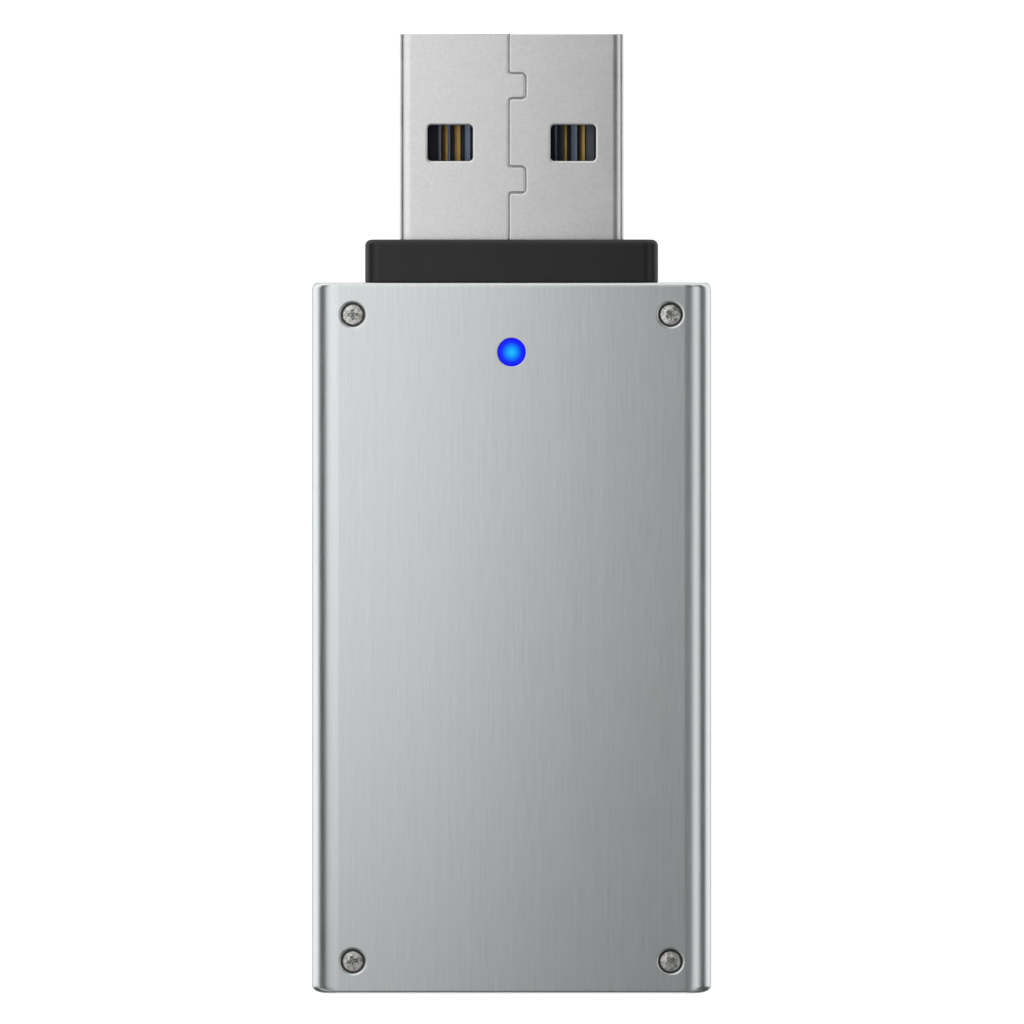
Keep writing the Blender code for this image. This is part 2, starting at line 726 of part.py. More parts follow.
def spring_tail_path():
    """A spring contact's fixed root inside the rear block, and its solder tail."""
    tail = BOARD_TOP + GAP + SPRING_SHEET / 2
    return [
        (BLOCK_FRONT - GAP, SPRING_ROOT_HEIGHT),
        (BLOCK_FRONT - 1.3 * MM, SPRING_ROOT_HEIGHT),
        (BLOCK_REAR + 0.3 * MM, tail),
        (TAIL_END, tail),
    ]


def spring_path():
    """A spring contact's free beam: it rises to a crown and turns down at its tip."""
    return [
        (SPRING_PIVOT_Y, SPRING_ROOT_HEIGHT),
        (BLOCK_FRONT + 1.7 * MM, SPRING_ROOT_HEIGHT + 0.55 * MM),
        (BLOCK_FRONT + 2.5 * MM, SPRING_ROOT_HEIGHT + 0.98 * MM),
        (BLOCK_FRONT + 2.85 * MM, SPRING_ROOT_HEIGHT + 0.98 * MM),
        (BLOCK_FRONT + 3.35 * MM, SPRING_ROOT_HEIGHT + 0.6 * MM),
    ]


def pads():
    """The four flat contacts, each split into two prongs along the middle of its pad."""
    for name, x in PADS.items():
        outline = ribbon(pad_path(), PAD_SHEET)
        mesh = extruded_mesh(name, outline, x - PAD_WIDTH / 2, x + PAD_WIDTH / 2, 0)
        pad = piece(name, mesh, "contact_gold")
        low = (x - PAD_SLOT_WIDTH / 2, PAD_SLOT_REAR, TONGUE_TOP - 1 * MM)
        high = (x + PAD_SLOT_WIDTH / 2, PAD_SLOT_FRONT, TONGUE_TOP + 1 * MM)
        cut(pad, helper(name + "_slot", box_mesh(name + "_slot", low, high)))


def spring_contacts():
    """The five SuperSpeed contacts: a fixed tail, and a beam hinged at the block's face."""
    for number, x in enumerate(SPRING_PLACES, 1):
        low = x - SPRING_WIDTH / 2
        high = x + SPRING_WIDTH / 2
        tail_name = f"spring_tail_{number}"
        tail = extruded_mesh(tail_name, ribbon(spring_tail_path(), SPRING_SHEET), low, high, 0)
        piece(tail_name, tail, "contact_gold")
        beam_name = f"spring_contact_{number}"
        beam = extruded_mesh(beam_name, ribbon(spring_path(), SPRING_SHEET), low, high, 0)
        beam = piece(beam_name, beam, "contact_gold")
        set_origin(beam, (x, SPRING_PIVOT_Y, SPRING_ROOT_HEIGHT))


def plug_insulator():
    """The moulded tongue, with a passage for each contact."""
    front = MOUTH - TONGUE_SETBACK
    outline = [
        (front, TONGUE_BOTTOM + 0.25 * MM),
        (front, TONGUE_TOP - 0.3 * MM),
        (front - 0.3 * MM, TONGUE_TOP),
        (BLOCK_REAR, TONGUE_TOP),
        (BLOCK_REAR, TONGUE_BOTTOM),
        (front - 0.25 * MM, TONGUE_BOTTOM),
    ]
    mesh = extruded_mesh("plug_insulator", outline, -INSULATOR_HALF, INSULATOR_HALF, 0)
    insulator = piece("plug_insulator", mesh, "insulator_blue")
    for name, x in PADS.items():
        half = PAD_WIDTH / 2 + GAP
        passage = ribbon(pad_path(), PAD_SHEET + 2 * GAP)
        mesh = extruded_mesh(name + "_passage", passage, x - half, x + half, 0)
        cut(insulator, helper(name + "_passage", mesh))
        low = (x - PAD_RIB_WIDTH / 2, PAD_SLOT_REAR + GAP, TONGUE_TOP - 0.4 * MM)
        high = (x + PAD_RIB_WIDTH / 2, PAD_SLOT_FRONT - GAP, TONGUE_TOP)
        join(insulator, helper(name + "_rib", box_mesh(name + "_rib", low, high)))
    for number, x in enumerate(SPRING_PLACES, 1):
        half = SPRING_WIDTH / 2 + GAP
        passage = ribbon(spring_tail_path(), SPRING_SHEET + 2 * GAP)
        name = f"spring_tail_{number}_passage"
        mesh = extruded_mesh(name, passage, x - half, x + half, 0)
        cut(insulator, helper(name, mesh))
        low = (x - SPRING_SLOT_WIDTH / 2, BLOCK_FRONT, SPRING_SLOT_FLOOR)
        high = (x + SPRING_SLOT_WIDTH / 2, SPRING_SLOT_END, TONGUE_TOP + 1 * MM)
        name = f"spring_slot_{number}"
        cut(insulator, helper(name, box_mesh(name, low, high)))


def plug_spacer():
    """The block on the tongue's rear, which ends the space that the socket's tongue enters."""
    low = (-INSULATOR_HALF, BLOCK_REAR, TONGUE_TOP + GAP)
    high = (INSULATOR_HALF, BLOCK_FRONT, PLUG_CEILING - GAP)
    spacer = piece("plug_spacer", box_mesh("plug_spacer", low, high), "insulator_blue")
    notch_top = BOARD_TOP + GAP + SPRING_SHEET + GAP
    for number, x in enumerate(SPRING_PLACES, 1):
        half = SPRING_WIDTH / 2 + GAP
        low = (x - half, BLOCK_REAR - 0.5 * MM, TONGUE_TOP)
        high = (x + half, BLOCK_REAR + 0.8 * MM, notch_top)
        name = f"spacer_notch_{number}"
        cut(spacer, helper(name, box_mesh(name, low, high)))


# ---------------------------------------------------------------- circuit board
def board_outline():
    """The right half of the board's outline, from the rear middle to the front middle,
    followed by its mirror image."""
    half = BOARD_WIDTH / 2
    rear = CASE_BACK + 1.5 * MM
    shoulder = PLUG_REAR - 1.2 * MM
    notch_inner = PLUG_WIDTH / 2 - PLUG_SHEET - GAP
    notch_outer = PLUG_WIDTH / 2 + GAP
    right = [
        (7.0 * MM, rear),
        (7.0 * MM, rear + 2.1 * MM),
        (half, rear + 2.1 * MM),
        (half, shoulder),
        (notch_outer, shoulder),
        (notch_outer, LEG_REAR - GAP),
        (notch_inner, LEG_REAR - GAP),
        (notch_inner, shoulder),
        (BOARD_TAB_WIDTH / 2, shoulder),
        (BOARD_TAB_WIDTH / 2, BLOCK_REAR - 0.2 * MM),
    ]
    left = [(-x, y) for x, y in reversed(right)]
    return right + left


def circle(x, y, radius):
    angles = [math.tau * step / ROUND_STEPS for step in range(ROUND_STEPS)]
    return [(x + radius * math.cos(angle), y + radius * math.sin(angle)) for angle in angles]


def circuit_board():
    """The board, with a hole for each locating peg."""
    pegs = [circle(side * PEG_X, PEG_Y, PEG_RADIUS + GAP) for side in (-1, 1)]
    outline = board_outline()
    mesh = extruded_mesh("circuit_board", outline, BOARD_BOTTOM, BOARD_TOP, 2, pegs)
    piece("circuit_board", mesh, "board_green")


def package(name, x, y, width, length, height, finish):
    """A moulded chip or can on the board's upper face, with softened upright edges."""
    low = ((x - width / 2) * MM, (y - length / 2) * MM, CHIP_BASE)
    high = ((x + width / 2) * MM, (y + length / 2) * MM, CHIP_BASE + height * MM)
    bm = box_bmesh(low, high)
    round_along(bm, 2, 0.08 * min(width, length) * MM, 2)
    piece(name, mesh_from(name, bm), finish)


def small_parts(kind, places, height, finish):
    """Capacitors or resistors: numbered copies of one small block."""
    low = (-SMALL_LENGTH / 2, -SMALL_WIDTH / 2, 0.0)
    high = (SMALL_LENGTH / 2, SMALL_WIDTH / 2, height)
    bm = box_bmesh(low, high)
    round_along(bm, 0, 0.05 * MM, 1)
    mesh = mesh_from(kind, bm)
    for number, (x, y, lengthwise) in enumerate(places, 1):
        small = piece(f"{kind}_{number}", mesh, finish)
        small.location = (x * MM, y * MM, CHIP_BASE)
        small.rotation_euler = (0.0, 0.0, math.radians(90 if lengthwise else 0))


def voltage_regulator():
    """A small five-legged regulator: its body and legs are one solid."""
    x = 4.4 * MM
    y = -2.9 * MM
    low = (x - 1.45 * MM, y - 0.8 * MM, CHIP_BASE + 0.1 * MM)
    high = (x + 1.45 * MM, y + 0.8 * MM, CHIP_BASE + 1.1 * MM)
    body = piece("voltage_regulator", box_mesh("voltage_regulator", low, high), "chip_black")
    legs = [(-0.95, -1), (0.0, -1), (0.95, -1), (-0.95, 1), (0.95, 1)]
    for number, (offset, side) in enumerate(legs, 1):
        name = f"regulator_leg_{number}"
        path = [(0.6, 0.55), (1.05, 0.55), (1.05, 0.08), (1.4, 0.08)]
        outline = ribbon([(y + side * a * MM, CHIP_BASE + b * MM) for a, b in path], 0.15 * MM)
        if side < 0:
            outline = outline[::-1]
        middle = x + offset * MM
        leg = extruded_mesh(name, outline, middle - 0.2 * MM, middle + 0.2 * MM, 0)
        join(body, helper(name, leg))


def slabs_under_and_over():
    """The second flash chip, the pad on top of the first one, and the insulating film."""
    chip_top = BOARD_BOTTOM - SOLDER
    pad_bottom = CHIP_BASE + FLASH_HEIGHT + GAP
    film_bottom = CASE_WALL + GAP
    # name: width, length, centre y, bottom, top, corner radius, finish
    slabs = {
        "flash_chip_bottom": (
            FLASH_WIDTH, FLASH_LENGTH, FLASH_Y, chip_top - FLASH_HEIGHT, chip_top,
            0.3 * MM, "chip_black",
        ),
        "thermal_pad": (
            10.0 * MM, 14.0 * MM, FLASH_Y, pad_bottom, CEILING - GAP, 0.6 * MM, "pad_grey"
        ),
        "insulating_film": (
            14.0 * MM, 28.0 * MM, -8.0 * MM, film_bottom, film_bottom + 0.1 * MM,
            0.6 * MM, "film_amber",
        ),
    }
    for name, (width, length, y, bottom, top, radius, finish) in slabs.items():
        bm = box_bmesh((-width / 2, y - length / 2, bottom), (width / 2, y + length / 2, top))
        round_along(bm, 2, radius, 3)
        piece(name, mesh_from(name, bm), finish)


# ---------------------------------------------------------------- assembly
def build():
    opening = neck_opening()
    front_cover(opening)
    back_shell(opening)
    screws()
    light_pipe()
    collar()
    plug_shell()
    pads()
    spring_contacts()
    plug_insulator()
    plug_spacer()
    circuit_board()
    for name, values in PACKAGES.items():
        package(name, *values)
    small_parts("capacitor", CAPACITORS, CAPACITOR_HEIGHT, "capacitor_tan")
    small_parts("resistor", RESISTORS, RESISTOR_HEIGHT, "resistor_black")
    voltage_regulator()
    slabs_under_and_over()


def even_out_shading():
    """Let large flat faces rule the shading of every piece that modifiers shape."""
    for obj in PIECES.objects:
        if obj.modifiers:
            modifier = obj.modifiers.new("shading", "WEIGHTED_NORMAL")
            modifier.keep_sharp = True


build()
even_out_shading()
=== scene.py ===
import math

import bmesh
import bpy
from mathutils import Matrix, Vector


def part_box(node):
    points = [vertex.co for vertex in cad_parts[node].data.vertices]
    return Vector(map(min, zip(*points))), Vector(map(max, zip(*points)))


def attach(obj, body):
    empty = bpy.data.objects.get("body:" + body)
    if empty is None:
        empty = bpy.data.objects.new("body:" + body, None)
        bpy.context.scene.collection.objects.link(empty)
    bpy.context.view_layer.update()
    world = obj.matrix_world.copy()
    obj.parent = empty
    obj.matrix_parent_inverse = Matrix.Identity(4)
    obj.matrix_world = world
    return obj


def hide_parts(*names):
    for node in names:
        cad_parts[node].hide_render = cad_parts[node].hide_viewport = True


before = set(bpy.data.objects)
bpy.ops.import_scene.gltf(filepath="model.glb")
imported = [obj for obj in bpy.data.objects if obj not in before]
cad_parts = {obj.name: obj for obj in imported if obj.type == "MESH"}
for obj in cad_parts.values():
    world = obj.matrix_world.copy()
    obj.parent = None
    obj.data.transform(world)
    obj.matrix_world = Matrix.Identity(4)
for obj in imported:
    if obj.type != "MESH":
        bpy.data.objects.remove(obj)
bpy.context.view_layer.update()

# A metal USB stick lying on its back, seen from straight above. +Z comes out of the face with
# the light, +Y out of the plug's mouth. Units are metres; sizes are millimetres times MM.

MM = 0.001
DRIVE = "drive"

# ---------------------------------------------------------------- places taken from the frame
COVER_LOW, COVER_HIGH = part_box("front_cover")
BACK_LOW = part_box("back_shell")[0]
COLLAR_LOW, COLLAR_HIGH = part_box("collar")
PLUG_LOW, PLUG_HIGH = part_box("plug_shell")
LIGHT_LOW, LIGHT_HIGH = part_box("light_pipe")
SCREWS = {number: sum(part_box(f"screw_{number}"), Vector()) / 2 for number in range(1, 5)}

PARTING = COVER_LOW.z
TOP = COVER_HIGH.z
HALF_WIDTH = COVER_HIGH.x
REAR = COVER_LOW.y
FRONT = COVER_HIGH.y
MOUTH = PLUG_HIGH.y
MIDDLE = (PLUG_LOW.z + PLUG_HIGH.z) / 2

# ---------------------------------------------------------------- shapes finer than the frame's
GAP = 0.05 * MM                    # between pieces that touch
WALL = 1.1 * MM                    # of the case
EDGE_RADIUS = 1.45 * MM            # the case's four long edges
PARTING_BEVEL = 0.05 * MM
# Each end is rounded twice: its outline, by so much across and along, and its edge with the
# face, by so much along and in height. All in millimetres.
FRONT_ROUNDING = ((0.27, 0.40), (0.26, 0.21))
REAR_ROUNDING = ((0.70, 0.40), (0.15, 0.20))
CORNER_STEPS = 16
END_STEPS = 6

LIP_STEPS = 6
LIP_END = math.radians(74)         # the rounding meets the face at a slight angle
BORE_LIP = (0.17 * MM, 0.07 * MM)  # each rounding's width and depth
LIGHT_LIP = (0.05 * MM, 0.02 * MM)
WINDOW_LIP = (0.15 * MM, 0.08 * MM)
SEAM_LIP = (0.14 * MM, 0.09 * MM)

BORE_RADIUS = 0.655 * MM           # the screws' counterbores
BORE_DEPTH = 0.60 * MM
SHANK_RADIUS = 0.40 * MM
AXIS_RADIUS = 0.02 * MM            # turned solids end in a tiny flat, not in a point
LIGHT_RADIUS = 0.76 * MM
LIGHT_DOME = 0.16 * MM
LIGHT_FLANGE = 0.5 * MM            # its thickness, under the case's wall

COLLAR_EDGE_RADIUS = 0.80 * MM
COLLAR_END_RADIUS = 0.33 * MM
COLLAR_HEEL = 0.06 * MM            # the bevel against the case
COLLAR_FLARE = 0.06 * MM           # the widening where the plug comes out
NECK = (13.5 * MM, 5.3 * MM)       # the width and height of the part that enters the case
FLANGE = (14.3 * MM, 6.1 * MM, 0.8 * MM)  # the wider part behind it, with its length
NECK_RADIUS = 0.5 * MM             # the corners of both

PLUG_EDGE = (0.60 * MM, 0.37 * MM)  # the folds' rounding: across and in height
PLUG_SHEET = 0.30 * MM
PLUG_LENGTH = 15.9 * MM
MOUTH_ROUNDING = 0.07 * MM
WINDOW_SIZE = (2.40 * MM, 1.93 * MM)
WINDOW_SPACING = 6.6 * MM
WINDOW_START = 4.9 * MM            # from the mouth
WINDOW_RADIUS = 0.2 * MM
SEAM_WIDTH = 0.030 * MM
SEAM_DEPTH = 0.27 * MM
SEAM_X = -0.15 * MM
SEAM_TAB_X = 0.745 * MM
SEAM_TABS = ((2.15 * MM, 3.49 * MM), (7.15 * MM, 8.55 * MM))  # each from and to, from the mouth
SEAM_CORNER = 0.20 * MM            # wider than the seam's lip, which would cross itself otherwise

SCREW_TURNS = (6, 40, 18, 33)      # how far each screw's cross is turned, in degrees
SCREW_CROWN = 0.05 * MM
CROWN_SHARE = 0.80                 # the crown's share of the head's radius
RECESS = (0.66 * MM, 0.20 * MM, 0.15 * MM)  # the cross's length, width and depth

TONGUE_TOP = 4.15 * MM
PRONG_TOP = TONGUE_TOP + 0.06 * MM
PRONG_THICKNESS = 0.23 * MM
RIB_TOP = TONGUE_TOP + 0.10 * MM
RIB_THICKNESS = 0.30 * MM
PAD_CUT = 3.9 * MM                 # a split pad's sheet is cut down to this height
FORK = (7.05 * MM, 3.6 * MM)       # the split part of a contact pad, from the mouth
FORK_OVERLAP = 0.15 * MM           # how far the prongs run into the unsplit ends
# The prongs seen through the windows and the plastic ribs beside them, in millimetres: each
# one's middle and width, and how far its top falls away to its left.
PRONGS = {
    "contact_ground": ((-3.61, 0.34, 0.15), (-2.93, 0.35, 0.11)),
    "contact_vbus": ((2.87, 0.24, 0.05), (3.80, 0.28, 0.10)),
}
# The ribs are the tongue's plastic in two painted tones: these are painted lighter, as lit, and the
# next ones darker, as in shade.
LIT_RIBS = (
    (-3.86, 0.14, 0.05),
    (-3.36, 0.10, 0.05),
    (-2.43, 0.40, 0.20),
    (2.38, 0.10, 0.09),
    (3.36, 0.32, 0.14),
)
SHADED_RIBS = ((2.66, 0.16, 0.09), (4.22, 0.44, 0.09))


# ---------------------------------------------------------------- mesh helpers
def new_object(name, mesh):
    obj = bpy.data.objects.new(name, mesh)
    bpy.context.scene.collection.objects.link(obj)
    return obj


def loft(name, rings, closed=False):
    """A solid skinned over rings of points; closed joins the last ring to the first."""
    bm = bmesh.new()
    loops = [[bm.verts.new(point) for point in ring] for ring in rings]
    pairs = list(zip(loops, loops[1:]))
    if closed:
        pairs.append((loops[-1], loops[0]))
    for lower, upper in pairs:
        count = len(lower)
        for index in range(count):
            after = (index + 1) % count
            bm.faces.new((lower[index], lower[after], upper[after], upper[index]))
    if not closed:
        bm.faces.new(reversed(loops[0]))
        bm.faces.new(loops[-1])
    bmesh.ops.recalc_face_normals(bm, faces=bm.faces)
    mesh = bpy.data.meshes.new(name)
    bm.to_mesh(mesh)
    bm.free()
    return new_object(name, mesh)


def turned(name, profile, centre, segments=64):
    """A solid of revolution: profile runs from the axis, round the outside, back to the axis."""
    rings = []
    for radius, height in profile:
        ring = []
        for step in range(segments):
            angle = math.tau * step / segments
            x = centre[0] + radius * math.cos(angle)
            y = centre[1] + radius * math.sin(angle)
            ring.append((x, y, height))
        rings.append(ring)
    return loft(name, rings)


def boolean(obj, cutter, operation="DIFFERENCE"):
    modifier = obj.modifiers.new("boolean", "BOOLEAN")
    modifier.operation = operation
    modifier.object = cutter
    depsgraph = bpy.context.evaluated_depsgraph_get()
    mesh = bpy.data.meshes.new_from_object(obj.evaluated_get(depsgraph))
    obj.modifiers.clear()
    old = obj.data
    obj.data = mesh
    bpy.data.meshes.remove(old)
    bpy.data.objects.remove(cutter)


def smooth(obj, angle=38):
    """Round stretches shade smooth, flat faces stay flat and corners stay sharp."""
    obj.data.shade_smooth()
    obj.data.set_sharp_from_angle(angle=math.radians(angle))
    modifier = obj.modifiers.new("shading", "WEIGHTED_NORMAL")
    modifier.keep_sharp = True


def grain_map(obj):
    """UVs in which U runs across the brushing and V along it, on each face's own plane."""
    bm = bmesh.new()
    bm.from_mesh(obj.data)
    layer = bm.loops.layers.uv.new("grain")
    for face in bm.faces:
        along = Vector((0, 1, 0)) if abs(face.normal.y) < 0.7 else Vector((1, 0, 0))
        across = along.cross(face.normal).normalized()
        for loop in face.loops:
            place = loop.vert.co / MM
            loop[layer].uv = (place.dot(across), place.dot(along))
    bm.to_mesh(obj.data)
    bm.free()


def arc(start, end, steps):
    return [start + (end - start) * step / steps for step in range(steps + 1)]


def rounded_rectangle(half_width, half_height, radius, steps=CORNER_STEPS, rise=None):
    """Points round a rectangle with round corners, anticlockwise from the right.

    The corners are elliptical where rise, their height, is given.
    """
    rise = radius if rise is None else rise
    points = []
    for quarter in range(4):
        sign_x = 1 if quarter in (0, 3) else -1
        sign_y = 1 if quarter < 2 else -1
        corner_x = sign_x * (half_width - radius)
        corner_y = sign_y * (half_height - rise)
        for angle in arc(quarter * math.pi / 2, (quarter + 1) * math.pi / 2, steps):
            x = corner_x + radius * math.cos(angle)
            y = corner_y + rise * math.sin(angle)
            points.append((x, y))
    return points


def standing(points, y, centre_z):
    """Puts a flat outline upright in the plane across the stick at y."""
    return [(x, y, centre_z + z) for x, z in points]


def lying(points, x, y, z):
    return [(x + px, y + py, z) for px, py in points]


def flared_cutter(name, outline, surface, depth, lip, up=1):
    """A cutter whose mouth flares, so that the edge it leaves in the surface is round.

    outline(grow) gives the hole's points, grown by that much; lip is the rounding's width and
    depth; up is -1 for a lower face.
    """
    width, rise = lip
    heart = surface - up * rise * math.sin(LIP_END)
    rings = [[(x, y, surface - up * depth) for x, y in outline(0.0)]]
    for angle in arc(0.0, LIP_END + math.radians(4), LIP_STEPS):
        grow = width * (1 - math.cos(angle))
        height = heart + up * rise * math.sin(angle)
        rings.append([(x, y, height) for x, y in outline(grow)])
    rings.append([(x, y, surface + up * width) for x, y in outline(grow)])
    return loft(name, rings)


def circle_outline(x, y, radius, steps=72):
    """A round hole's outline, as flared_cutter takes it."""

    def outline(grow):
        size = radius + grow
        angles = [math.tau * step / steps for step in range(steps)]
        return [(x + size * math.cos(angle), y + size * math.sin(angle)) for angle in angles]

    return outline


def box_cutter(name, low, high):
    ring = [(low[0], low[1]), (high[0], low[1]), (high[0], high[1]), (low[0], high[1])]
    return loft(name, [[(x, y, z) for x, y in ring] for z in (low[2], high[2])])


# ---------------------------------------------------------------- material helpers
class Look:
    """A Principled material and the texture nodes that feed it."""

    def __init__(self, name, metallic=0.0, **sockets):
        self.material = bpy.data.materials.new(name)
        self.material.use_nodes = True
        self.nodes = self.material.node_tree.nodes
        self.links = self.material.node_tree.links
        self.shader = self.nodes["Principled BSDF"]
        self.shader.inputs["Metallic"].default_value = metallic
        for socket, value in sockets.items():
            label = socket.replace("_", " ").title().replace("Ior", "IOR")
            self.shader.inputs[label].default_value = value

    def node(self, kind, **settings):
        node = self.nodes.new(kind)
        for name, value in settings.items():
            setattr(node, name, value)
        return node

    def place(self, cell):
        """Object coordinates in cells of the given size in millimetres, one per axis."""
        coordinates = self.node("ShaderNodeTexCoord")
        mapping = self.node("ShaderNodeMapping")
        mapping.inputs["Scale"].default_value = [1 / (size * MM) for size in cell]
        self.links.new(coordinates.outputs["Object"], mapping.inputs["Vector"])
        return mapping.outputs["Vector"]

    def noise(self, cell, detail=2.0, roughness=0.5):
        texture = self.node("ShaderNodeTexNoise")
        texture.inputs["Scale"].default_value = 1.0
        texture.inputs["Detail"].default_value = detail
        texture.inputs["Roughness"].default_value = roughness
        self.links.new(self.place(cell), texture.inputs["Vector"])
        return texture.outputs["Fac"]

    def math(self, operation, first, second=0.0):
        node = self.node("ShaderNodeMath", operation=operation)
        for socket, value in zip(node.inputs, (first, second)):
            if isinstance(value, (int, float)):
                socket.default_value = value
            else:
                self.links.new(value, socket)
        return node.outputs[0]

    def spread(self, value, low, high, start=0.3, end=0.7):
        """Maps a texture's range from start..end to low..high."""
        node = self.node("ShaderNodeMapRange")
        for socket, number in zip(node.inputs[1:5], (start, end, low, high)):
            socket.default_value = number
        self.links.new(value, node.inputs["Value"])
        return node.outputs["Result"]

    def mix(self, factor, first, second):
        """Mixes two colours, each a tuple or another node's output."""
        node = self.node("ShaderNodeMix", data_type="RGBA")
        self.links.new(factor, node.inputs["Factor"])
        for socket, value in ((node.inputs[6], first), (node.inputs[7], second)):
            if isinstance(value, tuple):
                socket.default_value = (*value, 1.0)
            else:
                self.links.new(value, socket)
        return node.outputs[2]

    def colour(self, output):
        self.links.new(output, self.shader.inputs["Base Color"])

    def roughness(self, output):
        self.links.new(output, self.shader.inputs["Roughness"])

    def bump(self, output, height):
        node = self.node("ShaderNodeBump")
        node.inputs["Distance"].default_value = height * MM
        self.links.new(output, node.inputs["Height"])
        self.links.new(node.outputs["Normal"], self.shader.inputs["Normal"])


def tinted(colour, amount):
    return tuple(channel * amount for channel in colour)


def brushed_metal(name, colour, roughness, grain=(0.10, 2.2, 0.10), anisotropic=0.35):
    """Metal brushed along Y: short fine streaks over long faint ones, with a cool drift."""
    look = Look(name, metallic=1.0, anisotropic=anisotropic)
    tangent = look.node("ShaderNodeTangent", direction_type="UV_MAP", uv_map="grain")
    look.links.new(tangent.outputs["Tangent"], look.shader.inputs["Tangent"])
    fine = look.noise(grain, detail=3.0, roughness=0.6)
    long = look.noise((grain[0] * 1.6, grain[1] * 12, grain[2] * 1.6), detail=4.0, roughness=0.7)
    drift = look.noise((2.4, 9.0, 2.4), detail=2.0)
    streaks = look.math("ADD", look.math("MULTIPLY", fine, 0.62), look.math("MULTIPLY", long, 0.38))
    cool = look.mix(drift, (0.985, 1.0, 1.012), (1.008, 1.0, 0.994))
    tone = look.node("ShaderNodeMix", data_type="RGBA", blend_type="MULTIPLY")
    tone.inputs["Factor"].default_value = 1.0
    streaked = look.mix(
        look.spread(streaks, 0.0, 1.0, 0.32, 0.68), tinted(colour, 0.93), tinted(colour, 1.05)
    )
    look.links.new(streaked, tone.inputs[6])
    look.links.new(cool, tone.inputs[7])
    look.colour(tone.outputs[2])
    look.roughness(look.spread(streaks, roughness * 0.92, roughness * 1.08))
    look.bump(streaks, 0.0006)
    return look.material


def beaded_metal(name, colour, roughness, cell=0.13, relief=0.0018, contrast=1.0):
    """Sheet steel with a fine matt bead finish and slow cloudy changes of tone."""
    look = Look(name, metallic=1.0)
    beads = look.noise((cell, cell, cell), detail=3.0, roughness=0.65)
    clouds = look.noise((1.8, 1.8, 1.8), detail=3.0)
    mixed = look.math("ADD", look.math("MULTIPLY", beads, 0.6), look.math("MULTIPLY", clouds, 0.4))
    deep = tinted(colour, 1 - 0.07 * contrast)
    bright = tinted(colour, 1 + 0.05 * contrast)
    look.colour(look.mix(look.spread(mixed, 0, 1), deep, bright))
    look.roughness(look.spread(clouds, roughness * 0.92, roughness * 1.1))
    look.bump(beads, relief)
    return look.material


def moulded_plastic(name, colour, roughness, cell=0.09, relief=0.0015, **sockets):
    """Plastic with a fine spark-eroded texture and a faint unevenness of colour."""
    look = Look(name, **sockets)
    grain = look.noise((cell, cell, cell), detail=4.0, roughness=0.6)
    patches = look.noise((2.5, 2.5, 2.5), detail=2.0)
    look.colour(look.mix(look.spread(patches, 0, 1), tinted(colour, 0.85), tinted(colour, 1.15)))
    look.roughness(look.spread(grain, roughness * 0.85, roughness * 1.15))
    look.bump(grain, relief)
    return look.material


def plated_contact(name, colour, roughness):
    """Gold plating over stamped strip: faint drawing lines and small cloudy stains."""
    look = Look(name, metallic=1.0)
    lines = look.noise((0.03, 1.0, 0.03), detail=3.0)
    clouds = look.noise((0.4, 0.6, 0.4), detail=3.0)
    look.colour(look.mix(look.spread(clouds, 0, 1), tinted(colour, 0.88), tinted(colour, 1.06)))
    look.roughness(look.spread(lines, roughness * 0.85, roughness * 1.2))
    look.bump(lines, 0.0004)
    return look.material


def screw_metal(name, colour, roughness):
    """Plated screw steel: pitted, stained and unevenly bright, as small heads are."""
    look = Look(name, metallic=1.0)
    pits = look.noise((0.09, 0.09, 0.09), detail=3.0, roughness=0.6)
    stains = look.noise((0.22, 0.22, 0.22), detail=2.0)
    mixed = look.math("ADD", look.math("MULTIPLY", pits, 0.5), look.math("MULTIPLY", stains, 0.5))
    share = look.spread(mixed, 0, 1, 0.41, 0.59)
    look.colour(look.mix(share, tinted(colour, 0.42), tinted(colour, 1.10)))
    look.roughness(look.spread(stains, roughness * 0.8, roughness * 1.3))
    look.bump(pits, 0.006)
    return look.material


def lit_window(name, centre):
    """The light's window: bright cyan over the lamp, falling to deep blue at its rim."""
    look = Look(name, specular_ior_level=0.05)
    coordinates = look.node("ShaderNodeTexCoord")
    offset = look.node("ShaderNodeVectorMath", operation="SUBTRACT")
    offset.inputs[1].default_value = centre
    look.links.new(coordinates.outputs["Object"], offset.inputs[0])
    flat = look.node("ShaderNodeVectorMath", operation="MULTIPLY")
    flat.inputs[1].default_value = (1, 1, 0)
    look.links.new(offset.outputs["Vector"], flat.inputs[0])
    length = look.node("ShaderNodeVectorMath", operation="LENGTH")
    look.links.new(flat.outputs["Vector"], length.inputs[0])
    ramp = look.node("ShaderNodeValToRGB")
    ramp.color_ramp.interpolation = "EASE"
    stops = (
        (0.0, (0.016, 0.52, 0.98)),
        (0.22, (0.006, 0.40, 0.94)),
        (0.50, (0.002, 0.16, 0.92)),
        (0.72, (0.006, 0.018, 0.95)),
        (1.0, (0.004, 0.006, 0.80)),
    )
    elements = ramp.color_ramp.elements
    elements.remove(elements[1])
    elements[0].color = (*stops[0][1], 1.0)
    for position, colour in stops[1:]:
        elements.new(position).color = (*colour, 1.0)
    distance = look.math("DIVIDE", length.outputs["Value"], LIGHT_RADIUS)
    look.links.new(distance, ramp.inputs["Fac"])
    grain = look.noise((0.05, 0.05, 0.05), detail=2.0)
    look.bump(grain, 0.0008)
    look.roughness(look.spread(grain, 0.3, 0.4))
    look.links.new(ramp.outputs["Color"], look.shader.inputs["Emission Color"])
    look.shader.inputs["Emission Strength"].default_value = 1.0
    look.colour(look.mix(grain, (0.004, 0.010, 0.08), (0.006, 0.014, 0.10)))
    return look.material


